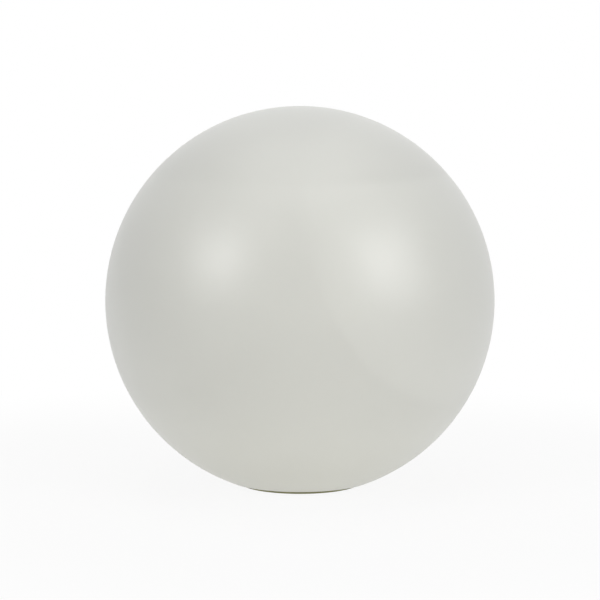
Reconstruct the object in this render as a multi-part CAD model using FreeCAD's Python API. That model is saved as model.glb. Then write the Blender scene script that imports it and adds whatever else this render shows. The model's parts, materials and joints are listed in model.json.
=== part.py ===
import FreeCAD, Part

import math
import os
from collections import namedtuple

from FreeCAD import Vector

# Cordless garden globe light: a hollow moulded ball that screws on to a sealed light module,
# which holds the cells, the control board and the lamps, and stands on a soft ring.
# Millimetres. The origin is the middle of the foot's underside, on the ground. +Z is up and -Y is the front.

# Ball
BALL_DIAMETER = 400.0
BALL_WALL = 3.5
BALL_CENTRE_HEIGHT = 190.0
BALL_RIM_HEIGHT = 4.0  # flat rim round the module, above the ground
BALL_RIM_FILLET = 2.5
RECESS_RADIUS = 63.6  # well in the ball's underside, which the module's foot sits in
LIP_HEIGHT = 12.0  # roof of that well
LIP_THICKNESS = 3.5
LIP_HOLE_RADIUS = 55.0
BOSS_WALL = 1.5
INSERT_RADIUS = 2.9
INSERT_LENGTH = 8.0
INSERT_HEAD_ROOM = 0.5
BOSS_CROWN = 2.0  # from an insert's top to its boss's top

# Foot
FOOT_RADIUS = 63.0
FOOT_WIDTH = 9.0
FOOT_THICKNESS = 3.4
FOOT_CHAMFER = 0.8
TONGUE_INNER_RADIUS = 57.1  # rib that locks the soft ring into the casing
TONGUE_OUTER_RADIUS = 59.9
TONGUE_HEIGHT = 1.2

# Module casing
FLANGE_THICKNESS = 3.6
SHOULDER_RADIUS = 50.4
SHOULDER_TOP = 15.0
BARREL_RADIUS = 47.5
BARREL_WALL = 3.0
DECK_TOP = 58.0
DECK_THICKNESS = 2.5
SEAL_SECTION = 2.0  # side of the square-cut sealing ring round the shoulder
SEAL_BASE = 10.5
GROOVE_PLAY = 0.1

# Quick thread between ball and module: a right-hand screw that lets go after a quarter turn
THREAD_LEAD = 40.0  # rise in one full turn
THREAD_STARTS = 3
NECK_BORE = 51.0
NECK_WALL = 3.4
NECK_TOP = 34.0
NECK_FLANGE_RADIUS = 63.2
NECK_FLANGE_THICKNESS = 3.2
RIB_RADIUS = 48.0  # crest of the neck's ribs
RIB_THICKNESS = 2.6
RIB_ARC = 86.0
RIB_START_HEIGHT = 18.6  # top of a rib where it begins
STOP_ARC = 4.0  # block at a rib's upper end, which ends the turn
STOP_HEIGHT = 3.6
LUG_RADIUS = 50.6
LUG_THICKNESS = 2.8
LUG_ARC = 20.0
LUG_END = 85.0  # along the rib from its beginning, screwed home
LUG_PLAY = 0.35  # between a rib's top and the lug that it hangs under
ROOT_OVERLAP = 0.3  # how deep ribs, lugs and bosses are rooted in their walls

# Slip ring and gaskets
SLIP_RING_THICKNESS = 1.0
SLIP_RING_INNER_RADIUS = 50.8
SLIP_RING_OUTER_RADIUS = 62.6
NECK_GASKET_INNER_RADIUS = 55.2
COVER_GASKET_THICKNESS = 0.6
CAP_SEAL_THICKNESS = 0.6

# Screws, and the circles that they stand on
ScrewSize = namedtuple("ScrewSize", "shank_radius head_radius head_height length countersunk")
NECK_SCREW = ScrewSize(2.0, 3.8, 2.0, 11.4, True)
COVER_SCREW = ScrewSize(1.5, 2.8, 1.4, 12.0, False)
SMALL_SCREW = ScrewSize(1.25, 2.3, 1.5, 7.0, False)
SCREW_PLAY = 0.05  # round a shank in the hole that it is driven into
THROUGH_PLAY = 0.25  # round a shank in a hole that it passes through
HEAD_SINK = 0.1  # how deep a countersunk head lies below its face
BLIND_END = 1.0  # left at the closed end of a screw's hole
NECK_SCREW_CIRCLE = 59.3
COVER_SCREW_CIRCLE = 41.2
CORNER_ANGLE = 45.0  # the neck's and the cover's four screws stand at the corners of a square
BOARD_SCREW_CIRCLE = 31.0
BOARD_SCREW_ANGLE = 60.0
LAMP_SCREW_CIRCLE = 19.0
LAMP_POST_RADIUS = 2.8
LAMP_POST_GAP = 2.0  # between these posts and the holder under them
HOLDER_POST_RADIUS = 3.5

# Bottom cover
COVER_RADIUS = 47.3
COVER_OUTSIDE = 6.4  # height of its outer face above the ground
COVER_THICKNESS = 3.0
COVER_CLEARANCE = 0.3
COVER_SCREW_SINK = 1.6
COVER_POST_RADIUS = 3.4
COVER_POST_GAP = 0.2
COVER_POST_TOP = 24.0
COVER_GASKET_INNER_RADIUS = 44.7
PIPE_RADIUS = 1.5
PIPE_Y = -22.0
PIPE_COLLAR_RADIUS = 2.4
PIPE_COLLAR_THICKNESS = 0.8
PIPE_GAP = 1.0  # between the pipe's inner end and the board
VENT_RADIUS = 2.0
VENT_Y = 24.0
VENT_SINK = 0.8
VENT_RIM_RADIUS = 3.6
VENT_RIM_THICKNESS = 1.2

# Control board
BOARD_RADIUS = 36.5
BOARD_UNDERSIDE = 17.4
BOARD_THICKNESS = 1.6
BOARD_POST_RADIUS = 3.0
CONNECTOR_LENGTH = 6.0
CONNECTOR_WIDTH = 9.0
CONNECTOR_HEIGHT = 6.0
BATTERY_CONNECTOR_FACE = 24.0  # along +X
LAMP_CONNECTOR_FACE = 18.0  # along +Y
Component = namedtuple("Component", "length width height x y")
CONTROL_CHIP = Component(7.0, 7.0, 1.0, -18.0, 2.0)
CHARGE_CHIP = Component(4.4, 5.0, 1.2, 16.0, -13.0)
POWER_INDUCTOR = Component(7.3, 7.3, 4.0, 5.0, -19.0)
CAPACITOR = Component(6.3, 6.3, 7.7, -10.0, -19.0)
STATUS_LED = Component(1.6, 1.0, 0.6, 0.0, PIPE_Y)

# Push button and its switch
BUTTON_X = -16.0
BUTTON_RADIUS = 6.2
BUTTON_FACE = 5.9  # height of its outer face, a little proud of the cover
BUTTON_HEAD_THICKNESS = 1.8
BUTTON_TRAVEL = 1.0
WELL_RADIUS = 6.5
WELL_DEPTH = 2.4
WELL_BOSS_HEIGHT = 1.2
STEM_RADIUS = 2.94
STEM_TOP = 12.6
SLEEVE_BORE = 3.0
SLEEVE_WALL = 2.0
SLEEVE_TOP = 11.6
BUTTON_SEAL_RADIUS = 2.97
BUTTON_SEAL_INNER_RADIUS = 2.05
BUTTON_SEAL_BASE = 9.4
BUTTON_SEAL_HEIGHT = 1.0
CLIP_BASE = 11.7
CLIP_THICKNESS = 0.4
CLIP_INNER_RADIUS = 2.3
CLIP_RADIUS = 4.2
CLIP_OPENING = 2.6
STEM_GROOVE_PLAY = 0.05
PLUNGER_RADIUS = 1.6
PLUNGER_LENGTH = 2.8
SWITCH_SIZE = 7.0
SWITCH_BASE = 13.9
PLUNGER_HEAD_ROOM = 0.2
SLIDING_PLAY = 0.06

# Charging port and its hinged cover
HINGE_X = 10.0
HINGE_HEIGHT = 8.1
PORT_COVER_LENGTH = 11.5  # from the hinge to its free edge
PORT_COVER_HEEL = 0.9  # from the hinge back to its other edge
PORT_COVER_WIDTH = 18.0
PORT_COVER_THICKNESS = 1.2
PORT_GAP = 0.3
PORT_COVER_PLAY = 0.1  # between the plate's back and its recess
PORT_SWING_ROOM = 2.6  # behind the hinge, for the plate as it swings open
PORT_HOUSING_WALL = 1.0
PLUG_X = 16.6
PLUG_LENGTH = 7.4
PLUG_WIDTH = 13.4
PLUG_TOP = 9.1
PLUG_HEAD_ROOM = 0.9
BEAD_RADIUS = 1.3
PIVOT_RADIUS = 1.0
PIVOT_LENGTH = 1.2
NAIL_NOTCH_RADIUS = 4.0
NAIL_NOTCH_DEPTH = 1.0
NAIL_NOTCH_OFFSET = 0.7  # of its centre, out from the recess's end
SOCKET_LENGTH = 3.3
SOCKET_WIDTH = 9.0
SOCKET_MOUTH = 10.4
SOCKET_CORNER = 1.6
SOCKET_SHEET = 0.3
SOCKET_PLAY = 0.25
SOCKET_BACK = 1.5
SOCKET_TONGUE_THICKNESS = 0.8
SOCKET_TONGUE_WIDTH = 6.6
SOCKET_TONGUE_SINK = 0.8

# Cells and holder
CELL_RADIUS = 9.2
CELL_LENGTH = 65.2
CELL_SPACING = 19.4
CELL_HEIGHT = 38.7
POLE_RADIUS = 2.9
POLE_LENGTH = 1.0
HOLDER_LENGTH = 72.0
HOLDER_WIDTH = 41.0
HOLDER_BASE = 34.0
HOLDER_FLOOR = 48.0
HOLDER_WALL = 1.5
HOLDER_CORNER = 3.0  # how far its side walls run in from its ends, full height
HOLDER_SIDE_BASE = 40.7  # lower edge of its side walls between those corners
HOLDER_SCREW_POINTS = [(-14.0, 25.0), (14.0, -25.0)]
EAR_LENGTH = 9.0
EAR_WIDTH = 10.0
DIVIDER_LENGTH = 30.0
DIVIDER_THICKNESS = 1.4
DIVIDER_BASE = 43.7
STRAP_WIDTH = 12.0
STRAP_THICKNESS = 0.8
STRAP_GAP = 14.0
STRAP_PLAY = 0.1  # between the strap and the cells
STRAP_SLOT_WIDTH = 1.2
CONTACT_THICKNESS = 0.5
CONTACT_SIZE = 8.0
DIMPLE_RADIUS = 2.5
TAIL_END = 32.5
TAIL_INNER_Y = 0.5
TAIL_WIDTH = 1.0
CONTACT_ARM_HEIGHT = 2.0

# Leads: flat twin cables
LEAD_WIDTH = 3.2
LEAD_THICKNESS = 1.2
LEAD_HEIGHT = 22.0  # where they leave their connectors
LEAD_BEND_RADIUS = 6.0
LEAD_SLOT_PLAY = 0.5

# Lamps and diffuser cap
SPREADER_RADIUS = 38.0
SPREADER_THICKNESS = 2.0
LAMP_BOARD_RADIUS = 36.0
LAMP_BOARD_THICKNESS = 1.6
LAMP_SIZE = 5.0
LAMP_HEIGHT = 1.6
INNER_LAMP_CIRCLE = 11.0
INNER_LAMP_COUNT = 8
OUTER_LAMP_CIRCLE = 27.0
OUTER_LAMP_COUNT = 16
LEAD_EXIT_Y = 32.5
CAP_RADIUS = 42.0
CAP_WALL = 2.0
CAP_FLANGE_RADIUS = 47.0
CAP_FLANGE_THICKNESS = 2.0
CAP_SKIRT_TOP = 68.0
CAP_TOP = 80.0
CAP_TOP_RADIUS = 30.0

# Worked out from the above
BALL_RADIUS = BALL_DIAMETER / 2
LIP_TOP = LIP_HEIGHT + LIP_THICKNESS
INSERT_TOP = LIP_HEIGHT + INSERT_LENGTH
FLANGE_TOP = FOOT_THICKNESS + FLANGE_THICKNESS
NECK_BASE = FLANGE_TOP + SLIP_RING_THICKNESS
NECK_FLANGE_TOP = NECK_BASE + NECK_FLANGE_THICKNESS
NECK_RADIUS = NECK_BORE + NECK_WALL
COVER_TOP = COVER_OUTSIDE + COVER_THICKNESS
COVER_SCREW_SEAT = COVER_OUTSIDE + COVER_SCREW_SINK
LEDGE = COVER_TOP + COVER_GASKET_THICKNESS
CASING_BORE = BARREL_RADIUS - BARREL_WALL
DECK_UNDERSIDE = DECK_TOP - DECK_THICKNESS
BOARD_TOP = BOARD_UNDERSIDE + BOARD_THICKNESS
PORT_COVER_BACK = COVER_OUTSIDE + PORT_COVER_THICKNESS
PORT_RECESS_WIDTH = PORT_COVER_WIDTH + 2 * PORT_GAP
PLUNGER_TOP = STEM_TOP + PLUNGER_LENGTH
HOLDER_TOP = HOLDER_FLOOR + HOLDER_WALL
CONTACT_X = HOLDER_LENGTH / 2 - HOLDER_WALL - CONTACT_THICKNESS / 2
STRAP_INNER_RADIUS = CELL_RADIUS + STRAP_PLAY
STRAP_LEG_Y = CELL_SPACING / 2 + STRAP_INNER_RADIUS + STRAP_THICKNESS / 2
LAMP_BOARD_BASE = DECK_TOP + SPREADER_THICKNESS
LAMP_BOARD_TOP = LAMP_BOARD_BASE + LAMP_BOARD_THICKNESS
CAP_BASE = DECK_TOP + CAP_SEAL_THICKNESS


def circle_points(radius, count, first_angle=0.0):
    """Evenly spaced (x, y) places on a circle."""
    angles = [math.radians(first_angle + 360 * i / count) for i in range(count)]
    return [(radius * math.cos(a), radius * math.sin(a)) for a in angles]


NECK_SCREW_POINTS = circle_points(NECK_SCREW_CIRCLE, 4, CORNER_ANGLE)
COVER_SCREW_POINTS = circle_points(COVER_SCREW_CIRCLE, 4, CORNER_ANGLE)
BOARD_SCREW_POINTS = circle_points(BOARD_SCREW_CIRCLE, 3, BOARD_SCREW_ANGLE)
LAMP_SCREW_POINTS = circle_points(LAMP_SCREW_CIRCLE, 2)


# Shapes that many pieces share


def disc(radius, bottom, top, x=0.0, y=0.0):
    return Part.makeCylinder(radius, top - bottom, Vector(x, y, bottom))


def ring(inner_radius, outer_radius, bottom, top, x=0.0, y=0.0):
    return disc(outer_radius, bottom, top, x, y).cut(disc(inner_radius, bottom, top, x, y))


def block(length, width, bottom, top, x=0.0, y=0.0):
    """A box, length along X and width along Y, centred on x, y."""
    return Part.makeBox(length, width, top - bottom, Vector(x - length / 2, y - width / 2, bottom))


def rod_y(radius, length, x, height):
    """A round bar along Y, centred on the XZ plane."""
    return Part.makeCylinder(radius, length, Vector(x, -length / 2, height), Vector(0, 1, 0))


def turned(points, angle=360.0):
    """A closed outline of (radius, height) points, turned about Z."""
    corners = [Vector(radius, 0, height) for radius, height in points]
    face = Part.Face(Part.makePolygon(corners + corners[:1]))
    return face.revolve(Vector(), Vector(0, 0, 1), angle)


def round_z(shape, angle):
    """A copy of the shape, turned about Z."""
    copy = shape.copy()
    copy.rotate(Vector(), Vector(0, 0, 1), angle)
    return copy


def discs(points, radius, bottom, top):
    """The same upright disc at each place: posts, or the holes to cut."""
    return Part.makeCompound([disc(radius, bottom, top, x, y) for x, y in points])


def rounded_block(length, width, corner, bottom, top, x):
    """A box whose upright edges are rounded."""
    made = block(length, width, bottom, top, x)
    upright = [edge for edge in made.Edges if abs(edge.tangentAt(edge.FirstParameter).z) > 0.5]
    return made.makeFillet(corner, upright)


def screw(size, x, y, seat, points_up=True):
    """A pan head lies behind its seat; a countersunk head lies within it."""
    if size.countersunk:
        head = Part.makeCone(size.head_radius, size.shank_radius, size.head_height)
    else:
        head = disc(size.head_radius, -size.head_height, 0)
    made = head.fuse(disc(size.shank_radius, 0, size.length)).removeSplitter()
    if not points_up:
        made.rotate(Vector(), Vector(1, 0, 0), 180)
    made.translate(Vector(x, y, seat))
    return made


def small_screws(points, seat, points_up=False):
    return Part.makeCompound([screw(SMALL_SCREW, x, y, seat, points_up) for x, y in points])


def thread_height(arc):
    """Height of a rib's top, this many degrees along it."""
    return RIB_START_HEIGHT + THREAD_LEAD * arc / 360


def helical_block(inner_radius, outer_radius, start_top, thickness, arc):
    """A stretch of screw thread that begins on +X, and whose top climbs at the thread's lead."""
    climb = THREAD_LEAD * arc / 360
    inner = Part.makeHelix(THREAD_LEAD, climb, inner_radius)
    outer = Part.makeHelix(THREAD_LEAD, climb, outer_radius)
    top = Part.makeRuledSurface(inner.Edges[0], outer.Edges[0])
    made = top.extrude(Vector(0, 0, -thickness))
    made.translate(Vector(0, 0, start_top))
    return made


def all_starts(shape):
    """One copy of the shape for each start of the thread."""
    return [round_z(shape, 360 * i / THREAD_STARTS) for i in range(THREAD_STARTS)]


def elbow_lead(reach, rise):
    """A flat cable from the origin: along +X, round a tangent bend, and straight up at x = reach."""
    straight = reach - LEAD_BEND_RADIUS
    level = block(straight, LEAD_WIDTH, -LEAD_THICKNESS / 2, LEAD_THICKNESS / 2, straight / 2)
    upright = block(LEAD_THICKNESS, LEAD_WIDTH, LEAD_BEND_RADIUS, rise, reach)
    end = max(level.Faces, key=lambda face: face.CenterOfMass.x)
    bend = end.revolve(Vector(straight, 0, LEAD_BEND_RADIUS), Vector(0, -1, 0), 90)
    return level.fuse([bend, upright])


# The ball and what turns with it


def cut_ball(radius, floor):
    """A solid ball about the light's centre, cut off flat at this height."""
    latitude = math.degrees(math.asin((floor - BALL_CENTRE_HEIGHT) / radius))
    return Part.makeSphere(radius, Vector(0, 0, BALL_CENTRE_HEIGHT), Vector(0, 0, 1), latitude, 90, 360)


def globe_shell():
    """Hollow ball, with a well in its underside whose pierced roof carries the neck."""
    ball = cut_ball(BALL_RADIUS, BALL_RIM_HEIGHT)
    rim = min(ball.Edges, key=lambda edge: edge.BoundBox.ZMax)
    ball = ball.makeFillet(BALL_RIM_FILLET, [rim])
    well_wall = disc(RECESS_RADIUS + BALL_WALL, 0, LIP_TOP)
    hollow = cut_ball(BALL_RADIUS - BALL_WALL, BALL_RIM_HEIGHT + BALL_WALL).cut(well_wall)
    well = disc(RECESS_RADIUS, 0, LIP_HEIGHT)
    neck_hole = disc(LIP_HOLE_RADIUS, 0, LIP_TOP)
    boss_top = INSERT_TOP + BOSS_CROWN
    bosses = discs(NECK_SCREW_POINTS, INSERT_RADIUS + BOSS_WALL, LIP_TOP - ROOT_OVERLAP, boss_top)
    pocket_top = INSERT_TOP + INSERT_HEAD_ROOM
    pockets = discs(NECK_SCREW_POINTS, INSERT_RADIUS + SCREW_PLAY, LIP_HEIGHT, pocket_top)
    return ball.cut([hollow, well, neck_hole]).fuse(bosses).cut(pockets)


def neck_inserts():
    """Threaded bushes, one in each of the ball's bosses."""
    bushes = discs(NECK_SCREW_POINTS, INSERT_RADIUS, LIP_HEIGHT, INSERT_TOP)
    return bushes.cut(discs(NECK_SCREW_POINTS, NECK_SCREW.shank_radius + SCREW_PLAY, LIP_HEIGHT, INSERT_TOP))


def neck_gasket():
    """Flat gasket between the neck's flange and the ball's lip."""
    gasket = ring(NECK_GASKET_INNER_RADIUS, NECK_FLANGE_RADIUS, NECK_FLANGE_TOP, LIP_HEIGHT)
    hole_radius = NECK_SCREW.shank_radius + THROUGH_PLAY
    return gasket.cut(discs(NECK_SCREW_POINTS, hole_radius, NECK_FLANGE_TOP, LIP_HEIGHT))


def neck_thread():
    """The neck's helical ribs, each with the block that ends the turn."""
    root = NECK_BORE + ROOT_OVERLAP
    rib = helical_block(RIB_RADIUS, root, RIB_START_HEIGHT, RIB_THICKNESS, RIB_ARC)
    base = thread_height(RIB_ARC) - RIB_THICKNESS
    top = thread_height(RIB_ARC) + STOP_HEIGHT
    stop = turned([(RIB_RADIUS, base), (root, base), (root, top), (RIB_RADIUS, top)], STOP_ARC)
    return all_starts(rib.fuse(round_z(stop, RIB_ARC)))


def neck_ring():
    """Flanged sleeve under the ball, with the ribs that hang under the module's lugs."""
    sleeve = turned(
        [
            (NECK_BORE, NECK_BASE),
            (NECK_FLANGE_RADIUS, NECK_BASE),
            (NECK_FLANGE_RADIUS, NECK_FLANGE_TOP),
            (NECK_RADIUS, NECK_FLANGE_TOP),
            (NECK_RADIUS, NECK_TOP),
            (NECK_BORE, NECK_TOP),
        ]
    )
    head_room = NECK_SCREW._replace(
        shank_radius=NECK_SCREW.shank_radius + THROUGH_PLAY,
        head_radius=NECK_SCREW.head_radius + THROUGH_PLAY,
    )
    holes = [screw(head_room, x, y, NECK_BASE) for x, y in NECK_SCREW_POINTS]
    return sleeve.fuse(neck_thread()).cut(holes)


def neck_screw(x, y):
    return screw(NECK_SCREW, x, y, NECK_BASE + HEAD_SINK)


def slip_ring():
    """Slippery washer between the neck's flange and the casing's, which the ball turns on."""
    return ring(SLIP_RING_INNER_RADIUS, SLIP_RING_OUTER_RADIUS, FLANGE_TOP, NECK_BASE)


# The module's casing


def foot_ring():
    """Soft ring that the light stands on, locked into the casing by a tongue."""
    inner = FOOT_RADIUS - FOOT_WIDTH
    tongue_top = FOOT_THICKNESS + TONGUE_HEIGHT
    return turned(
        [
            (inner + FOOT_CHAMFER, 0),
            (FOOT_RADIUS - FOOT_CHAMFER, 0),
            (FOOT_RADIUS, FOOT_CHAMFER),
            (FOOT_RADIUS, FOOT_THICKNESS),
            (TONGUE_OUTER_RADIUS, FOOT_THICKNESS),
            (TONGUE_OUTER_RADIUS, tongue_top),
            (TONGUE_INNER_RADIUS, tongue_top),
            (TONGUE_INNER_RADIUS, FOOT_THICKNESS),
            (inner, FOOT_THICKNESS),
            (inner, FOOT_CHAMFER),
        ]
    )


def casing_lugs():
    """The lugs that clasp the neck's ribs, at the height where the ball is screwed home."""
    start = LUG_END - LUG_ARC
    top = thread_height(start) + LUG_PLAY + LUG_THICKNESS
    lug = helical_block(BARREL_RADIUS - ROOT_OVERLAP, LUG_RADIUS, top, LUG_THICKNESS, LUG_ARC)
    return all_starts(round_z(lug, start))


def lead_slot(bottom, top):
    """Where the lamps' lead passes up through a plate."""
    room = 2 * LEAD_SLOT_PLAY
    return block(LEAD_WIDTH + room, LEAD_THICKNESS + room, bottom, top, 0, LEAD_EXIT_Y)


def module_body():
    """One casing: foot flange, sealed shoulder, barrel with thread lugs, and the deck under the lamps."""
    mouth = COVER_RADIUS + COVER_CLEARANCE
    casing = turned(
        [
            (mouth, FOOT_THICKNESS),
            (FOOT_RADIUS, FOOT_THICKNESS),
            (FOOT_RADIUS, FLANGE_TOP),
            (SHOULDER_RADIUS, FLANGE_TOP),
            (SHOULDER_RADIUS, SHOULDER_TOP),
            (BARREL_RADIUS, SHOULDER_TOP),
            (BARREL_RADIUS, DECK_TOP),
            (0, DECK_TOP),
            (0, DECK_UNDERSIDE),
            (CASING_BORE, DECK_UNDERSIDE),
            (CASING_BORE, LEDGE),
            (mouth, LEDGE),
        ]
    )
    tongue_groove = ring(
        TONGUE_INNER_RADIUS - GROOVE_PLAY,
        TONGUE_OUTER_RADIUS + GROOVE_PLAY,
        FOOT_THICKNESS,
        FOOT_THICKNESS + TONGUE_HEIGHT + GROOVE_PLAY,
    )
    seal_groove = ring(
        NECK_BORE - SEAL_SECTION - 2 * GROOVE_PLAY,
        SHOULDER_RADIUS,
        SEAL_BASE - GROOVE_PLAY,
        SEAL_BASE + SEAL_SECTION + GROOVE_PLAY,
    )
    lamp_post_base = HOLDER_TOP + LAMP_POST_GAP
    posts = [
        discs(COVER_SCREW_POINTS, COVER_POST_RADIUS, COVER_TOP + COVER_POST_GAP, COVER_POST_TOP),
        discs(LAMP_SCREW_POINTS, LAMP_POST_RADIUS, lamp_post_base, DECK_UNDERSIDE),
        discs(HOLDER_SCREW_POINTS, HOLDER_POST_RADIUS, HOLDER_TOP, DECK_UNDERSIDE),
    ]
    cover_hole = COVER_SCREW.shank_radius + SCREW_PLAY
    small_hole = SMALL_SCREW.shank_radius + SCREW_PLAY
    holes = [
        discs(COVER_SCREW_POINTS, cover_hole, COVER_TOP, COVER_POST_TOP - BLIND_END),
        discs(LAMP_SCREW_POINTS, small_hole, lamp_post_base + BLIND_END, DECK_TOP),
        discs(HOLDER_SCREW_POINTS, small_hole, HOLDER_TOP, DECK_TOP - BLIND_END),
    ]
    solid = casing.fuse(posts + casing_lugs())
    return solid.cut([tongue_groove, seal_groove, lead_slot(DECK_UNDERSIDE, DECK_TOP)] + holes)


def base_seal():
    """Square-cut rubber ring in the shoulder's groove, wiped by the neck's bore."""
    outer = NECK_BORE - SCREW_PLAY
    return ring(outer - SEAL_SECTION, outer, SEAL_BASE, SEAL_BASE + SEAL_SECTION)


# The bottom cover and what it carries


def port_housing():
    """Raised block inside the cover, round the charging well and the hinge's pocket."""
    front = HINGE_X - PORT_SWING_ROOM - PORT_HOUSING_WALL
    back = HINGE_X + PORT_COVER_LENGTH + PORT_GAP + PORT_HOUSING_WALL
    width = PORT_RECESS_WIDTH + 2 * (PIVOT_LENGTH + PORT_HOUSING_WALL)
    return block(back - front, width, COVER_TOP, SLEEVE_TOP, (front + back) / 2)


def port_openings():
    """What is cut for the hinged cover: its recess, hinge pocket, pivot bores, plug well and nail notch."""
    back = HINGE_X - PORT_SWING_ROOM
    front = HINGE_X + PORT_COVER_LENGTH + PORT_GAP
    swing_radius = math.hypot(PORT_COVER_HEEL, HINGE_HEIGHT - COVER_OUTSIDE) + PORT_GAP
    pivot_room = PORT_RECESS_WIDTH + 2 * PIVOT_LENGTH
    recess_roof = PORT_COVER_BACK + PORT_COVER_PLAY
    well_length = PLUG_LENGTH + 2 * PORT_GAP
    well_width = PLUG_WIDTH + 2 * PORT_GAP
    well_roof = PLUG_TOP + PLUG_HEAD_ROOM
    socket_length = SOCKET_LENGTH + 2 * SOCKET_PLAY
    socket_width = SOCKET_WIDTH + 2 * SOCKET_PLAY
    notch_x = front + NAIL_NOTCH_OFFSET
    return [
        block(front - back, PORT_RECESS_WIDTH, COVER_OUTSIDE, recess_roof, (front + back) / 2),
        rod_y(swing_radius, PORT_RECESS_WIDTH, HINGE_X, HINGE_HEIGHT),
        rod_y(PIVOT_RADIUS + SLIDING_PLAY, pivot_room, HINGE_X, HINGE_HEIGHT),
        block(well_length, well_width, COVER_OUTSIDE, well_roof, PLUG_X),
        block(socket_length, socket_width, COVER_TOP, SLEEVE_TOP, PLUG_X),
        disc(NAIL_NOTCH_RADIUS, COVER_OUTSIDE, COVER_OUTSIDE + NAIL_NOTCH_DEPTH, notch_x),
    ]


def bottom_cover():
    """Disc that closes the casing, with the button's sleeve, the charging well and the board's posts."""
    added = [
        disc(WELL_RADIUS + SLEEVE_WALL, COVER_TOP, COVER_TOP + WELL_BOSS_HEIGHT, BUTTON_X),
        disc(SLEEVE_BORE + SLEEVE_WALL, COVER_TOP, SLEEVE_TOP, BUTTON_X),
        port_housing(),
        discs(BOARD_SCREW_POINTS, BOARD_POST_RADIUS, COVER_TOP, BOARD_UNDERSIDE),
    ]
    head_hole = COVER_SCREW.head_radius + THROUGH_PLAY
    shank_hole = COVER_SCREW.shank_radius + THROUGH_PLAY
    board_hole = SMALL_SCREW.shank_radius + SCREW_PLAY
    removed = [
        disc(WELL_RADIUS, COVER_OUTSIDE, COVER_OUTSIDE + WELL_DEPTH, BUTTON_X),
        disc(SLEEVE_BORE, COVER_OUTSIDE, SLEEVE_TOP, BUTTON_X),
        disc(PIPE_RADIUS + SCREW_PLAY, COVER_OUTSIDE, COVER_TOP, 0, PIPE_Y),
        disc(VENT_RADIUS + SCREW_PLAY, COVER_OUTSIDE, COVER_TOP, 0, VENT_Y),
        discs(COVER_SCREW_POINTS, head_hole, COVER_OUTSIDE, COVER_SCREW_SEAT),
        discs(COVER_SCREW_POINTS, shank_hole, COVER_OUTSIDE, COVER_TOP),
        discs(BOARD_SCREW_POINTS, board_hole, COVER_TOP + BLIND_END, BOARD_UNDERSIDE),
    ]
    return disc(COVER_RADIUS, COVER_OUTSIDE, COVER_TOP).fuse(added).cut(removed + port_openings())


def cover_gasket():
    """Flat gasket between the cover's edge and the casing's ledge."""
    return ring(COVER_GASKET_INNER_RADIUS, COVER_RADIUS, COVER_TOP, LEDGE)


def cover_screw(x, y):
    return screw(COVER_SCREW, x, y, COVER_SCREW_SEAT)


def vent_plug():
    """Breathable plug, pushed into the cover from inside."""
    stem = disc(VENT_RADIUS, COVER_OUTSIDE + VENT_SINK, COVER_TOP, 0, VENT_Y)
    return stem.fuse(disc(VENT_RIM_RADIUS, COVER_TOP, COVER_TOP + VENT_RIM_THICKNESS, 0, VENT_Y))


def light_pipe():
    """Clear rod that brings the charging light out through the cover."""
    rod = disc(PIPE_RADIUS, COVER_OUTSIDE, BOARD_UNDERSIDE - PIPE_GAP, 0, PIPE_Y)
    return rod.fuse(disc(PIPE_COLLAR_RADIUS, COVER_TOP, COVER_TOP + PIPE_COLLAR_THICKNESS, 0, PIPE_Y))


def port_cover():
    """Charging port's cover: a flush plate with a plug, on a bead that pivots in the bottom cover."""
    length = PORT_COVER_LENGTH + PORT_COVER_HEEL
    middle = HINGE_X + (PORT_COVER_LENGTH - PORT_COVER_HEEL) / 2
    plate = block(length, PORT_COVER_WIDTH, COVER_OUTSIDE, PORT_COVER_BACK, middle)
    plug = block(PLUG_LENGTH, PLUG_WIDTH, COVER_OUTSIDE, PLUG_TOP, PLUG_X)
    bead = rod_y(BEAD_RADIUS, PORT_COVER_WIDTH, HINGE_X, HINGE_HEIGHT)
    pivots = rod_y(PIVOT_RADIUS, PORT_COVER_WIDTH + 2 * PIVOT_LENGTH, HINGE_X, HINGE_HEIGHT)
    return plate.fuse([plug, bead, pivots])


# The button and what moves with it


def power_button():
    """Round button with a stem through its sleeve, grooved for the seal and the clip."""
    head = disc(BUTTON_RADIUS, BUTTON_FACE, BUTTON_FACE + BUTTON_HEAD_THICKNESS, BUTTON_X)
    stem = disc(STEM_RADIUS, BUTTON_FACE, STEM_TOP, BUTTON_X)
    seal_groove = ring(
        BUTTON_SEAL_INNER_RADIUS - STEM_GROOVE_PLAY,
        SLEEVE_BORE,
        BUTTON_SEAL_BASE - GROOVE_PLAY,
        BUTTON_SEAL_BASE + BUTTON_SEAL_HEIGHT + GROOVE_PLAY,
        BUTTON_X,
    )
    clip_groove = ring(
        CLIP_INNER_RADIUS - STEM_GROOVE_PLAY,
        SLEEVE_BORE,
        CLIP_BASE - STEM_GROOVE_PLAY,
        CLIP_BASE + CLIP_THICKNESS + STEM_GROOVE_PLAY,
        BUTTON_X,
    )
    return head.fuse(stem).cut([seal_groove, clip_groove])


def button_seal():
    """Square-cut rubber ring in the stem's groove."""
    top = BUTTON_SEAL_BASE + BUTTON_SEAL_HEIGHT
    return ring(BUTTON_SEAL_INNER_RADIUS, BUTTON_SEAL_RADIUS, BUTTON_SEAL_BASE, top, BUTTON_X)


def button_clip():
    """Open clip that keeps the stem from dropping out of its sleeve."""
    top = CLIP_BASE + CLIP_THICKNESS
    slot = block(CLIP_RADIUS, CLIP_OPENING, CLIP_BASE, top, BUTTON_X + CLIP_RADIUS / 2)
    return ring(CLIP_INNER_RADIUS, CLIP_RADIUS, CLIP_BASE, top, BUTTON_X).cut(slot)


def switch_plunger():
    return disc(PLUNGER_RADIUS, STEM_TOP, PLUNGER_TOP, BUTTON_X)


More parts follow.
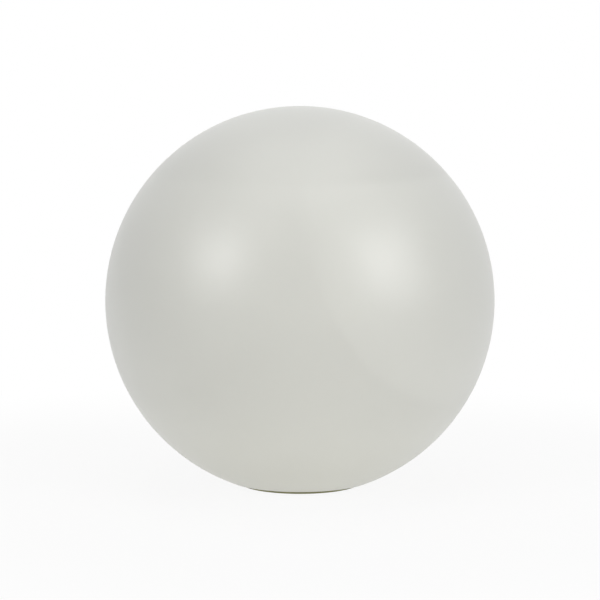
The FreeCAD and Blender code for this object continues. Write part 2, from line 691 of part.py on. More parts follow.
def power_switch():
    """Push switch under the board; its spring returns the button."""
    bore_top = PLUNGER_TOP + BUTTON_TRAVEL + PLUNGER_HEAD_ROOM
    bore = disc(PLUNGER_RADIUS + SLIDING_PLAY, SWITCH_BASE, bore_top, BUTTON_X)
    return block(SWITCH_SIZE, SWITCH_SIZE, SWITCH_BASE, BOARD_UNDERSIDE, BUTTON_X).cut(bore)


# The control board


def control_board():
    holes = discs(BOARD_SCREW_POINTS, SMALL_SCREW.shank_radius + THROUGH_PLAY, BOARD_UNDERSIDE, BOARD_TOP)
    return disc(BOARD_RADIUS, BOARD_UNDERSIDE, BOARD_TOP).cut(holes)


def charge_socket():
    """Upright charging socket, open downwards: a sheet sleeve round a contact tongue."""
    sleeve = rounded_block(SOCKET_LENGTH, SOCKET_WIDTH, SOCKET_CORNER, SOCKET_MOUTH, BOARD_UNDERSIDE, PLUG_X)
    inside = rounded_block(
        SOCKET_LENGTH - 2 * SOCKET_SHEET,
        SOCKET_WIDTH - 2 * SOCKET_SHEET,
        SOCKET_CORNER - SOCKET_SHEET,
        SOCKET_MOUTH,
        BOARD_UNDERSIDE - SOCKET_BACK,
        PLUG_X,
    )
    tongue_tip = SOCKET_MOUTH + SOCKET_TONGUE_SINK
    tongue = block(SOCKET_TONGUE_THICKNESS, SOCKET_TONGUE_WIDTH, tongue_tip, BOARD_UNDERSIDE, PLUG_X)
    return sleeve.cut(inside).fuse(tongue)


def component(size):
    """A square-cornered part that stands on the board's top."""
    return block(size.length, size.width, BOARD_TOP, BOARD_TOP + size.height, size.x, size.y)


def status_led():
    """Charging light on the board's underside, facing the light pipe."""
    base = BOARD_UNDERSIDE - STATUS_LED.height
    return block(STATUS_LED.length, STATUS_LED.width, base, BOARD_UNDERSIDE, STATUS_LED.x, STATUS_LED.y)


def battery_connector():
    middle = BATTERY_CONNECTOR_FACE - CONNECTOR_LENGTH / 2
    return block(CONNECTOR_LENGTH, CONNECTOR_WIDTH, BOARD_TOP, BOARD_TOP + CONNECTOR_HEIGHT, middle)


def lamp_connector():
    middle = LAMP_CONNECTOR_FACE - CONNECTOR_LENGTH / 2
    return block(CONNECTOR_WIDTH, CONNECTOR_LENGTH, BOARD_TOP, BOARD_TOP + CONNECTOR_HEIGHT, 0, middle)


def control_chip():
    return component(CONTROL_CHIP)


def charge_chip():
    return component(CHARGE_CHIP)


def power_inductor():
    return component(POWER_INDUCTOR)


def capacitor():
    return disc(CAPACITOR.length / 2, BOARD_TOP, BOARD_TOP + CAPACITOR.height, CAPACITOR.x, CAPACITOR.y)


# Cells, holder and leads


def battery_cell(side):
    """Cell along X; the raised poles of the two point opposite ways."""
    base = Vector(side * CELL_LENGTH / 2, side * CELL_SPACING / 2, CELL_HEIGHT)
    toward_pole = Vector(-side, 0, 0)
    can = Part.makeCylinder(CELL_RADIUS, CELL_LENGTH - POLE_LENGTH, base, toward_pole)
    pole = Part.makeCylinder(POLE_RADIUS, CELL_LENGTH, base, toward_pole)
    return can.fuse(pole)


def battery_holder():
    """Tray, open downwards, that hangs from the deck by two ears and clasps both cells."""
    tray = block(HOLDER_LENGTH, HOLDER_WIDTH, HOLDER_BASE, HOLDER_TOP)
    inside_length = HOLDER_LENGTH - 2 * HOLDER_WALL
    inside_width = HOLDER_WIDTH - 2 * HOLDER_WALL
    side_opening = inside_length - 2 * HOLDER_CORNER
    hole_radius = SMALL_SCREW.shank_radius + THROUGH_PLAY
    ears = [block(EAR_LENGTH, EAR_WIDTH, HOLDER_FLOOR, HOLDER_TOP, x, y) for x, y in HOLDER_SCREW_POINTS]
    removed = [
        block(inside_length, inside_width, HOLDER_BASE, HOLDER_FLOOR),
        block(side_opening, HOLDER_WIDTH, HOLDER_BASE, HOLDER_SIDE_BASE),
        block(STRAP_GAP, HOLDER_WIDTH, HOLDER_BASE, HOLDER_FLOOR),
        discs(HOLDER_SCREW_POINTS, hole_radius, HOLDER_FLOOR, HOLDER_TOP),
    ]
    for y in (-STRAP_LEG_Y, STRAP_LEG_Y):
        removed.append(block(STRAP_GAP, STRAP_SLOT_WIDTH, HOLDER_FLOOR, HOLDER_TOP, 0, y))
    divider = block(DIVIDER_LENGTH, DIVIDER_THICKNESS, DIVIDER_BASE, HOLDER_FLOOR)
    return tray.fuse(ears).cut(removed).fuse(divider)


def strap_outline(radius):
    """Face in the YZ plane: round both cells at this radius, then straight up to the tray's top."""
    y = CELL_SPACING / 2
    diagonal = radius * math.sqrt(0.5)
    left = Vector(0, -y - radius, CELL_HEIGHT)
    right = Vector(0, y + radius, CELL_HEIGHT)
    bottom_left = Vector(0, -y, CELL_HEIGHT - radius)
    bottom_right = Vector(0, y, CELL_HEIGHT - radius)
    top_left = Vector(0, -y - radius, HOLDER_TOP)
    top_right = Vector(0, y + radius, HOLDER_TOP)
    left_corner = Part.Arc(left, Vector(0, -y - diagonal, CELL_HEIGHT - diagonal), bottom_left)
    right_corner = Part.Arc(bottom_right, Vector(0, y + diagonal, CELL_HEIGHT - diagonal), right)
    sides = [
        Part.LineSegment(top_left, left),
        left_corner,
        Part.LineSegment(bottom_left, bottom_right),
        right_corner,
        Part.LineSegment(right, top_right),
        Part.LineSegment(top_right, top_left),
    ]
    return Part.Face(Part.Wire([side.toShape() for side in sides]))


def battery_strap():
    """Strap under both cells, passed up through the tray's slots."""
    band = strap_outline(STRAP_INNER_RADIUS + STRAP_THICKNESS).cut(strap_outline(STRAP_INNER_RADIUS))
    made = band.extrude(Vector(STRAP_WIDTH, 0, 0))
    made.translate(Vector(-STRAP_WIDTH / 2, 0, 0))
    return made


def contact_plate(end, side):
    """Square plate in the holder's end wall, with the pressed dimple that bears on the cell."""
    y = side * CELL_SPACING / 2
    bottom = CELL_HEIGHT - CONTACT_SIZE / 2
    plate = block(CONTACT_THICKNESS, CONTACT_SIZE, bottom, bottom + CONTACT_SIZE, end * CONTACT_X, y)
    depth = CONTACT_X - CONTACT_THICKNESS / 2 - CELL_LENGTH / 2
    start = Vector(end * CELL_LENGTH / 2, y, CELL_HEIGHT)
    return plate.fuse(Part.makeCylinder(DIMPLE_RADIUS, depth, start, Vector(end, 0, 0)))


def contact_bridge():
    """Contact at the far end that joins the two cells."""
    bottom = CELL_HEIGHT - CONTACT_SIZE / 2
    link = block(CONTACT_THICKNESS, CELL_SPACING, bottom, bottom + CONTACT_SIZE, -CONTACT_X)
    return link.fuse([contact_plate(-1, -1), contact_plate(-1, 1)])


def contact_leaf(side):
    """Contact at the near end of one cell, with a tail that the lead is soldered to."""
    bottom = CELL_HEIGHT - CONTACT_SIZE / 2
    arm_width = CELL_SPACING / 2 - TAIL_INNER_Y
    arm_y = side * (TAIL_INNER_Y + arm_width / 2)
    arm = block(CONTACT_THICKNESS, arm_width, bottom, bottom + CONTACT_ARM_HEIGHT, CONTACT_X, arm_y)
    tail_y = side * (TAIL_INNER_Y + TAIL_WIDTH / 2)
    tail = block(CONTACT_THICKNESS, TAIL_WIDTH, TAIL_END, bottom, CONTACT_X, tail_y)
    return contact_plate(1, side).fuse([arm, tail])


def battery_lead():
    """Flat lead from the board's battery connector up to the contacts' tails."""
    made = elbow_lead(CONTACT_X - BATTERY_CONNECTOR_FACE, TAIL_END - LEAD_HEIGHT)
    made.translate(Vector(BATTERY_CONNECTOR_FACE, 0, LEAD_HEIGHT))
    return made


def lamp_lead():
    """Flat lead from the board's lamp connector up through the deck to the lamp board."""
    made = round_z(elbow_lead(LEAD_EXIT_Y - LAMP_CONNECTOR_FACE, LAMP_BOARD_BASE - LEAD_HEIGHT), 90)
    made.translate(Vector(0, LAMP_CONNECTOR_FACE, LEAD_HEIGHT))
    return made


# Lamps and cap


def heat_spreader():
    """Aluminium disc that carries the lamp board's heat into the deck."""
    holes = discs(LAMP_SCREW_POINTS, SMALL_SCREW.shank_radius + THROUGH_PLAY, DECK_TOP, LAMP_BOARD_BASE)
    slot = lead_slot(DECK_TOP, LAMP_BOARD_BASE)
    return disc(SPREADER_RADIUS, DECK_TOP, LAMP_BOARD_BASE).cut([holes, slot])


def lamp_board():
    holes = discs(LAMP_SCREW_POINTS, SMALL_SCREW.shank_radius + THROUGH_PLAY, LAMP_BOARD_BASE, LAMP_BOARD_TOP)
    return disc(LAMP_BOARD_RADIUS, LAMP_BOARD_BASE, LAMP_BOARD_TOP).cut(holes)


def lamps():
    """Square light sources in two circles, all soldered to the one board."""
    places = circle_points(INNER_LAMP_CIRCLE, INNER_LAMP_COUNT)
    places += circle_points(OUTER_LAMP_CIRCLE, OUTER_LAMP_COUNT)
    top = LAMP_BOARD_TOP + LAMP_HEIGHT
    return Part.makeCompound([block(LAMP_SIZE, LAMP_SIZE, LAMP_BOARD_TOP, top, x, y) for x, y in places])


def cap_seal():
    """Bonded gasket that holds the cap down on the deck."""
    return ring(CAP_RADIUS - CAP_WALL, CAP_FLANGE_RADIUS, DECK_TOP, CAP_BASE)


def light_cap():
    """Opal cap over the lamps: flange, skirt, sloping shoulder and flat top."""
    flange_top = CAP_BASE + CAP_FLANGE_THICKNESS
    inner_skirt = CAP_RADIUS - CAP_WALL
    slope = math.atan2(CAP_TOP - CAP_SKIRT_TOP, CAP_RADIUS - CAP_TOP_RADIUS)
    shoulder_drop = CAP_WALL * math.tan((math.pi / 2 - slope) / 2)
    top_shrink = CAP_WALL * math.tan(slope / 2)
    return turned(
        [
            (inner_skirt, CAP_BASE),
            (CAP_FLANGE_RADIUS, CAP_BASE),
            (CAP_FLANGE_RADIUS, flange_top),
            (CAP_RADIUS, flange_top),
            (CAP_RADIUS, CAP_SKIRT_TOP),
            (CAP_TOP_RADIUS, CAP_TOP),
            (0, CAP_TOP),
            (0, CAP_TOP - CAP_WALL),
            (CAP_TOP_RADIUS - top_shrink, CAP_TOP - CAP_WALL),
            (inner_skirt, CAP_SKIRT_TOP - shoulder_drop),
        ]
    )


def export(name, shape):
    """Write one piece to its own file, as its bare solids."""
    solids = shape.Solids
    made = solids[0] if len(solids) == 1 else Part.makeCompound(solids)
    made.exportStep("parts/" + name + ".step")


def main():
    os.makedirs("parts", exist_ok=True)
    ball = [globe_shell, neck_inserts, neck_gasket, neck_ring, slip_ring]
    casing = [foot_ring, module_body, base_seal]
    cover = [bottom_cover, cover_gasket, vent_plug, light_pipe, port_cover]
    button = [power_button, button_seal, button_clip, switch_plunger, power_switch]
    board = [control_board, charge_socket, status_led, battery_connector, lamp_connector]
    board_parts = [control_chip, charge_chip, power_inductor, capacitor]
    power = [battery_holder, battery_strap, contact_bridge, battery_lead]
    light = [lamp_lead, heat_spreader, lamp_board, lamps, cap_seal, light_cap]
    for make in ball + casing + cover + button + board + board_parts + power + light:
        export(make.__name__, make())
    for number, side in enumerate((-1, 1), 1):
        export("battery_cell_" + str(number), battery_cell(side))
        export("contact_leaf_" + str(number), contact_leaf(side))
    for number, (x, y) in enumerate(NECK_SCREW_POINTS, 1):
        export("neck_screw_" + str(number), neck_screw(x, y))
    for number, (x, y) in enumerate(COVER_SCREW_POINTS, 1):
        export("cover_screw_" + str(number), cover_screw(x, y))
    export("board_screws", small_screws(BOARD_SCREW_POINTS, BOARD_TOP))
    export("lamp_screws", small_screws(LAMP_SCREW_POINTS, LAMP_BOARD_TOP))
    export("holder_screws", small_screws(HOLDER_SCREW_POINTS, HOLDER_FLOOR, points_up=True))


main()
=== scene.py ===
import json
import math
from collections import namedtuple

import bmesh
import bpy
from bpy.props import FloatProperty, FloatVectorProperty, PointerProperty
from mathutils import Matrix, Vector

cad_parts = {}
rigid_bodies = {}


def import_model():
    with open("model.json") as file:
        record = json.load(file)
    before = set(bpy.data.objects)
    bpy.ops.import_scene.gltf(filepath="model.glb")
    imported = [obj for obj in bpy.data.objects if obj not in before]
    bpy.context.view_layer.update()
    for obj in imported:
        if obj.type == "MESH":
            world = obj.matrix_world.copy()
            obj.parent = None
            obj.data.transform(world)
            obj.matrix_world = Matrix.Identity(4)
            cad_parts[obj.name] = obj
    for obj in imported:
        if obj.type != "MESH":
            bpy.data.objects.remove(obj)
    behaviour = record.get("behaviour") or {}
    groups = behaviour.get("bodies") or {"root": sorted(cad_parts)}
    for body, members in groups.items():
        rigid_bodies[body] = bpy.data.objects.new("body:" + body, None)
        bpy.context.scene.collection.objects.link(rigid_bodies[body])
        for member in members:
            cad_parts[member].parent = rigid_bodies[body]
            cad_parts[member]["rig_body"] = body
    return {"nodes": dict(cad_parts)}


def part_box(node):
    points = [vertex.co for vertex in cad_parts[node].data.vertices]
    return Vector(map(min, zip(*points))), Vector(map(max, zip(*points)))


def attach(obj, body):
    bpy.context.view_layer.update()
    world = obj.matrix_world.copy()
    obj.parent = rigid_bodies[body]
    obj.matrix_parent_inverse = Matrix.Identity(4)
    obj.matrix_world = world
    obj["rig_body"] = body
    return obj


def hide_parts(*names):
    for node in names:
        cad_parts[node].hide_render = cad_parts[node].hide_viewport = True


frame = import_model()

bl_info = {
    "name": "Garden globe light",
    "version": (1, 0, 0),
    "blender": (4, 5, 0),
    "location": "3D View > Sidebar > Globe light",
    "description": "Dresses a cordless garden globe light: its milky ball and the module screwed into it",
    "category": "Mesh",
}

MM = 0.001
TINY = 0.001  # millimetres
TURN = 2 * math.pi  # in radians
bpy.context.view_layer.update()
SLOTS = {name: node.data.materials[0].name for name, node in frame["nodes"].items()}


def reach(node):
    """A node's lowest and highest corners, in millimetres."""
    low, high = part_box(node)
    return low / MM, high / MM


def middle(node):
    low, high = reach(node)
    return (low + high) / 2


def slot_of(node):
    """The material slot that the record gives a node."""
    return SLOTS[node]


def body_of(node):
    return frame["nodes"][node]["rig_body"]


# Sizes and colours that a user may change


class GlobeLightSizes(bpy.types.PropertyGroup):
    ball_wall: FloatProperty(
        name="Ball wall",
        description="Thickness of the moulded shell",
        default=3.5 * MM,
        unit="LENGTH",
    )
    rim_fillet: FloatProperty(
        name="Rim fillet",
        description="Rounding between the ball and its flat rim round the foot",
        default=2.5 * MM,
        unit="LENGTH",
    )
    moulded_edge: FloatProperty(
        name="Moulded edge",
        description="Rounding of the casing's moulded edges",
        default=0.4 * MM,
        unit="LENGTH",
    )
    camera_distance: FloatProperty(
        name="Camera distance",
        description="From the ball's centre to the camera",
        default=1.640,
        unit="LENGTH",
    )
    camera_elevation: FloatProperty(
        name="Camera elevation",
        description="How far above the horizon the camera stands",
        default=math.radians(4.5),
        subtype="ANGLE",
    )


def colour_property(name, description, default):
    return FloatVectorProperty(
        name=name, description=description, default=default, size=3, subtype="COLOR", min=0, max=1
    )


class GlobeLightColours(bpy.types.PropertyGroup):
    ball: colour_property("Ball", "Milky off-white of the ball", (0.692, 0.698, 0.662))
    casing: colour_property("Casing", "Light grey of the module and its neck", (0.44, 0.44, 0.41))
    cover: colour_property("Bottom cover", "Dark grey of the cover under the light", (0.070, 0.070, 0.064))
    foot: colour_property("Foot", "Olive grey of the soft ring that it stands on", (0.390, 0.390, 0.215))
    wrap: colour_property("Cell wrap", "Slate blue of the film round the cells", (0.050, 0.110, 0.190))
    strap: colour_property("Strap", "Charcoal of the woven strap", (0.035, 0.036, 0.040))
    mask: colour_property("Board", "Deep green of the control board's coating", (0.010, 0.085, 0.045))


def sizes():
    return bpy.context.scene.globe_light_sizes


def colours():
    return bpy.context.scene.globe_light_colours


# Materials

LOOK = "_look"  # ends the name of each material made here


class Wire:
    """An output of a shader node, with the arithmetic that adds Math nodes."""

    def __init__(self, nodes, socket):
        self.nodes = nodes
        self.socket = socket

    def math(self, operation, *values):
        return self.nodes.node("ShaderNodeMath", {"operation": operation}, dict(enumerate(values)))

    def __add__(self, other):
        return self.math("ADD", self, other)

    def __radd__(self, other):
        return self.math("ADD", other, self)

    def __sub__(self, other):
        return self.math("SUBTRACT", self, other)

    def __rsub__(self, other):
        return self.math("SUBTRACT", other, self)

    def __mul__(self, other):
        return self.math("MULTIPLY", self, other)

    def __rmul__(self, other):
        return self.math("MULTIPLY", other, self)

    def wave(self):
        """0 to 1 and back, once for each 2 pi."""
        return self.math("SINE", self) * 0.5 + 0.5

    def size(self):
        return self.math("ABSOLUTE", self)

    def larger(self, other):
        return self.math("MAXIMUM", self, other)

    def above(self, limit, soft=0.0):
        """0 below the limit and 1 above it, over a soft step."""
        settings = {"interpolation_type": "SMOOTHSTEP"}
        ends = {"Value": self, "From Min": limit - soft / 2, "From Max": limit + soft / 2}
        return self.nodes.node("ShaderNodeMapRange", settings, ends)


class NodeTree:
    """The nodes of a material, or of the world."""

    def __init__(self, tree):
        self.tree = tree

    def node(self, kind, settings, inputs, outlet=0):
        """Add a node: first its settings, then the values or wires of its sockets. Gives its output."""
        made = self.tree.nodes.new(kind)
        for key, value in settings.items():
            setattr(made, key, value)
        for key, value in inputs.items():
            if isinstance(value, Wire):
                self.tree.links.new(value.socket, made.inputs[key])
            else:
                made.inputs[key].default_value = value
        return Wire(self, made.outputs[outlet])


class Finish(NodeTree):
    """A material in the making: a Principled shader, and the nodes that vary it."""

    def __init__(self, name, **constants):
        self.material = bpy.data.materials.new(name + LOOK)
        self.material.use_nodes = True
        super().__init__(self.material.node_tree)
        self.shader = self.tree.nodes["Principled BSDF"]
        for socket, value in constants.items():
            self.shader.inputs[socket.replace("_", " ")].default_value = value

    def place(self, scale=(1, 1, 1)):
        """The place on the piece, in metres, stretched or flattened along its axes."""
        where = self.node("ShaderNodeTexCoord", {}, {}, "Object")
        return self.node("ShaderNodeVectorMath", {"operation": "MULTIPLY"}, {0: where, 1: scale})

    def along(self, axis):
        return self.node("ShaderNodeSeparateXYZ", {}, {"Vector": self.place()}, axis)

    def radius(self):
        """How far from the light's upright axis."""
        return self.node("ShaderNodeVectorMath", {"operation": "LENGTH"}, {0: self.place((1, 1, 0))}, 1)

    def noise(self, size, detail=2.0, stretch=(1, 1, 1)):
        """Cloudy noise whose blotches are about this many millimetres across."""
        inputs = {"Vector": self.place(stretch), "Scale": 1 / (size * MM), "Detail": detail}
        return self.node("ShaderNodeTexNoise", {}, inputs, "Fac")

    def dots(self, size, jitter=1.0):
        """Distance from the nearest of scattered points, which lie about this many millimetres apart."""
        inputs = {"Vector": self.place(), "Scale": 1 / (size * MM), "Randomness": jitter}
        return self.node("ShaderNodeTexVoronoi", {}, inputs, "Distance")

    def mix(self, factor, first, second):
        """Blend two colours, each a wire or three numbers."""
        inputs = {0: factor}
        for key, colour in ((6, first), (7, second)):
            inputs[key] = colour if isinstance(colour, Wire) else (*colour, 1.0)
        return self.node("ShaderNodeMix", {"data_type": "RGBA"}, inputs, 2)

    def feed(self, socket, value):
        self.tree.links.new(value.socket, self.shader.inputs[socket])

    def bump(self, height, depth):
        """Relief from a height of 0 to 1 that stands for this many millimetres."""
        self.feed("Normal", self.node("ShaderNodeBump", {}, {"Height": height, "Distance": depth * MM}))

    def dress(self, colour, roughness, height, depth):
        """Feed a colour, a roughness and a relief, and give the finish itself."""
        self.feed("Base Color", colour)
        self.feed("Roughness", roughness)
        self.bump(height, depth)
        return self


def shade(colour, factor):
    """A colour made lighter or darker."""
    return tuple(min(1.0, part * factor) for part in colour)


def moulded(name, colour, roughness=0.45, grain=0.35, relief=0.012, **constants):
    """Moulded plastic: a spark-eroded grain, faint flow clouds and rubbed spots that shine a little."""
    made = Finish(name, **constants)
    clouds = made.noise(18, 3)
    pits = made.noise(grain, 2)
    rubbed = made.noise(6, 5).above(0.62, 0.12)
    tone = clouds * 0.6 + pits * 0.4
    tint = made.mix(tone, shade(colour, 0.88), shade(colour, 1.12))
    return made.dress(tint, roughness + 0.10 * pits - 0.12 * rubbed, pits, relief)


def rubber(name, colour, roughness=0.72):
    """Soft rubber: dull and faintly mottled, with pale dust in its pores."""
    made = Finish(name, Specular_IOR_Level=0.35)
    mottle = made.noise(5, 4)
    pores = made.noise(0.4, 3)
    dust = (mottle * 0.6 + pores * 0.4).above(0.58, 0.10)
    base = made.mix(mottle, shade(colour, 0.90), shade(colour, 1.10))
    tint = made.mix(dust * 0.06, base, (0.42, 0.41, 0.37))
    return made.dress(tint, roughness + 0.15 * dust, pores, 0.02)


def metal(name, colour, roughness=0.3, line=0.06, stretch=(1, 1, 0.04), relief=0.004):
    """Bare metal: fine drawn lines, stains that dull it, and bright rubbed streaks."""
    made = Finish(name, Metallic=1.0)
    lines = made.noise(line, 2, stretch)
    stains = made.noise(4, 4)
    tint = made.mix(lines * 0.5 + stains * 0.5, shade(colour, 0.78), shade(colour, 1.15))
    return made.dress(tint, roughness - 0.08 + 0.12 * lines + 0.14 * stains, lines, relief)


def ball_plastic():
    """Rotation-moulded polyethylene: faint clouds and flecks, and a fine orange-peel skin."""
    skin = Finish("ball_plastic", Specular_IOR_Level=1.0)
    clouds = skin.noise(70, 3)
    flecks = skin.noise(1.2, 2)
    base = colours().ball
    tone = clouds * 0.6 + flecks * 0.4
    tint = skin.mix(tone, shade(base, 0.975), shade(base, 1.025))
    return skin.dress(tint, 0.31 + 0.06 * clouds + 0.04 * flecks, skin.noise(2.5, 2), 0.02)


def casing_plastic():
    return moulded("casing_plastic", colours().casing)


def slip_plastic():
    return moulded("slip_plastic", (0.66, 0.65, 0.60), 0.28, 0.8, 0.004)


def foot_rubber():
    return rubber("foot_rubber", colours().foot)


def seal_rubber():
    return rubber("seal_rubber", (0.045, 0.045, 0.048), 0.6)


def cover_plastic():
    return moulded("cover_plastic", colours().cover, 0.5, 0.45, 0.03)


def soft_plastic():
    return moulded("soft_plastic", (0.036, 0.037, 0.036), 0.62, 0.25, 0.008)


def vent_plastic():
    return moulded("vent_plastic", (0.12, 0.12, 0.12), 0.5)


def clear_plastic():
    """Clear polycarbonate, with faint swirls and fine scratches."""
    made = Finish("clear_plastic", Transmission_Weight=1.0, IOR=1.58)
    scratches = made.noise(0.15, 3, (1, 12, 1))
    tint = made.mix(made.noise(3, 2), (0.93, 0.95, 0.94), (1.0, 1.0, 1.0))
    return made.dress(tint, 0.05 + 0.10 * scratches, scratches, 0.002)


def spring_steel():
    return metal("spring_steel", (0.34, 0.34, 0.36), 0.32)


def contact_nickel():
    return metal("contact_nickel", (0.66, 0.62, 0.55), 0.26)


def brass():
    return metal("brass", (0.72, 0.49, 0.19), 0.28)


def screw_steel():
    return metal("screw_steel", (0.56, 0.55, 0.53), 0.27, 0.1, (1, 1, 0.3))


def tinned():
    """Solder and tinned pads: bright, and slightly lumpy."""
    return metal("tinned", (0.70, 0.70, 0.72), 0.24, 0.3, (1, 1, 1), 0.02)


def gold_plate():
    return metal("gold_plate", (0.83, 0.60, 0.24), 0.2)


def component_plastic():
    return moulded("component_plastic", (0.022, 0.022, 0.024), 0.5, 0.08, 0.006)


def connector_plastic():
    return moulded("connector_plastic", (0.58, 0.56, 0.48), 0.4, 0.6, 0.006)


def ferrite():
    return moulded("ferrite", (0.050, 0.050, 0.053), 0.6, 0.2, 0.02)


def copper_wire():
    return metal("copper_wire", (0.66, 0.27, 0.12), 0.22)


def capacitor_can():
    """Drawn aluminium sleeve, with the dark half-moon that marks its negative side on the top."""
    made = metal("capacitor_can", (0.62, 0.62, 0.64), 0.28)
    centre = middle("capacitor") * MM
    top = reach("capacitor")[1].z * MM
    side = 1 - made.along("X").above(centre.x - 1.0 * MM, 0.1 * MM)
    mark = side * made.along("Z").above(top - 0.5 * MM, 0.05 * MM)
    bare = made.shader.inputs["Base Color"].links[0].from_socket
    made.feed("Base Color", made.mix(mark, Wire(made, bare), (0.03, 0.03, 0.035)))
    made.feed("Metallic", 1 - mark)
    return made


def socket_metal():
    return metal("socket_metal", (0.60, 0.59, 0.57), 0.24)


BOARD_RADIUS = 36.5
FINE_WAVE = 9000.0  # per metre, for the glass weave and the rings that a tool leaves


def board_laminate():
    """Coated glass laminate: tracks and filled copper under the coating, tinned vias and a bare cut edge."""
    made = Finish("board_laminate", Coat_Weight=0.4, Coat_Roughness=0.2)
    mask = colours().mask
    inputs = {
        "Vector": made.place((1, 1, 0)),
        "Scale": 420.0,
        "Mortar Size": 0.16,
        "Mortar Smooth": 0.1,
        "Brick Width": 2.6,
        "Row Height": 0.42,
    }
    bricks = 1 - made.node("ShaderNodeTexBrick", {"offset": 0.41, "squash": 2.3}, inputs, "Fac")
    filled = made.noise(9, 1).above(0.52, 0.02)
    copper = bricks.larger(filled)
    weave = (made.along("X") * FINE_WAVE).wave() * (made.along("Y") * FINE_WAVE).wave()
    vias = 1 - made.dots(3.1).above(0.09, 0.02)
    coated = made.mix(copper, shade(mask, 0.75), shade(mask, 1.25))
    coated = made.mix(weave * 0.2, coated, shade(mask, 0.5))
    coated = made.mix(vias, coated, (0.62, 0.60, 0.56))
    edge = made.radius().above((BOARD_RADIUS - 0.2) * MM, 0.1 * MM)
    made.feed("Metallic", vias * (1 - edge) * 0.9)
    tint = made.mix(edge, coated, (0.33, 0.31, 0.16))
    return made.dress(tint, 0.32 + 0.10 * weave + 0.3 * edge, copper * 0.8 + weave * 0.1, 0.03)


def lamp_board_coat():
    """White coated aluminium board: ring tracks under the coating, and a light speckle."""
    made = Finish("lamp_board_coat", Coat_Weight=0.2, Coat_Roughness=0.25)
    rings = (made.radius() * (TURN / (8 * MM))).wave().above(0.72, 0.08)
    speckle = made.noise(0.3, 3)
    coated = made.mix(rings, (0.76, 0.76, 0.74), (0.66, 0.65, 0.61))
    tint = made.mix(speckle * 0.2, coated, (0.58, 0.58, 0.56))
    return made.dress(tint, 0.36 + 0.08 * speckle, rings * 0.8 + speckle * 0.2, 0.03)


def holder_plastic():
    return moulded("holder_plastic", (0.030, 0.030, 0.032), 0.48, 0.5, 0.015)


def strap_fabric():
    """Woven tape: ribs across the strap that pass over and under its lengthwise yarns."""
    made = Finish("strap_fabric", Sheen_Weight=0.25, Specular_IOR_Level=0.2)
    base = colours().strap
    along = made.along("Y").size() + made.along("Z")
    across = (made.along("X") * (TURN / (0.8 * MM))).wave()
    ribs = (along * (TURN / (0.7 * MM))).wave()
    over = (made.along("X") * (TURN / (1.6 * MM)) + along * (TURN / (1.4 * MM))).wave()
    yarn = across * over + ribs * (1 - over)
    fuzz = made.noise(0.12, 3)
    # The tint is painted lighter where the yarns ride high and darker where they dip: painted highlight and
    # painted shade that follow the weave's relief.
    tint = made.mix(yarn * 0.7 + fuzz * 0.3, shade(base, 0.55), shade(base, 2.4))
    return made.dress(tint, 0.82 + 0.12 * fuzz, yarn * 0.85 + fuzz * 0.15, 0.14)


def strap_thread():
    """Waxed sewing thread, twisted."""
    made = Finish("strap_thread", Sheen_Weight=0.2)
    twist = made.noise(0.15, 3)
    tint = made.mix(twist, (0.16, 0.16, 0.15), (0.30, 0.30, 0.28))
    return made.dress(tint, 0.6 + 0.2 * twist, twist, 0.03)


def cell_wrap():
    """Shrunk film: glossy, drawn in tiny ripples round the cell and whitened at its folds."""
    made = Finish("cell_wrap", Coat_Weight=0.5, Coat_Roughness=0.12)
    base = colours().wrap
    ripples = made.noise(1.2, 3, (6, 1, 1))
    ends = made.along("X").size().above(31.2 * MM, 1.2 * MM)
    clouds = made.noise(12, 3)
    film = made.mix(clouds, shade(base, 0.85), shade(base, 1.15))
    tint = made.mix(ends * ripples * 0.5, film, (0.35, 0.40, 0.46))
    return made.dress(tint, 0.22 + 0.16 * ripples, ripples * (0.2 + ends * 0.8), 0.05)


def cell_steel():
    return metal("cell_steel", (0.60, 0.59, 0.57), 0.24, 0.15, (0.1, 1, 1))


def cell_washer():
    """Pressed white fibre of the insulating washer round a cell's pole."""
    made = Finish("cell_washer", Specular_IOR_Level=0.2)
    fibre = made.noise(0.25, 4, (1, 0.3, 1))
    tint = made.mix(fibre, (0.62, 0.61, 0.57), (0.80, 0.79, 0.75))
    return made.dress(tint, 0.75 + 0.15 * fibre, fibre, 0.04)


def lead_skin(name, colour):
    """Soft wire insulation: slightly shiny, with a drawn grain and the odd smear."""
    return moulded(name, colour, 0.4, 0.2, 0.006, Specular_IOR_Level=0.45)


def lead_insulation():
    return lead_skin("lead_insulation", (0.028, 0.028, 0.030))


def lead_red():
    return lead_skin("lead_red", (0.42, 0.030, 0.022))


def spreader_aluminium():
    """Turned aluminium: tool rings round the middle, with duller patches."""
    made = Finish("spreader_aluminium", Metallic=1.0)
    across = made.radius() * FINE_WAVE
    rings = made.node("ShaderNodeTexNoise", {"noise_dimensions": "1D"}, {"W": across}, "Fac")
    patches = made.noise(9, 4)
    tint = made.mix(rings * 0.5 + patches * 0.5, (0.60, 0.61, 0.63), (0.84, 0.85, 0.86))
    return made.dress(tint, 0.24 + 0.12 * rings + 0.16 * patches, rings, 0.01)


def lamp_phosphor():
    """Phosphor gel in a lamp's dish: warm yellow, grainy, under a clear skin."""
    made = Finish("lamp_phosphor", Coat_Weight=0.8, Coat_Roughness=0.1)
    grains = made.noise(0.10, 3)
    tint = made.mix(grains, (0.74, 0.50, 0.10), (0.92, 0.70, 0.22))
    return made.dress(tint, 0.45 + 0.15 * grains, grains, 0.01)


def lamp_body():
    return moulded("lamp_body", (0.72, 0.72, 0.69), 0.4, 0.12, 0.004)


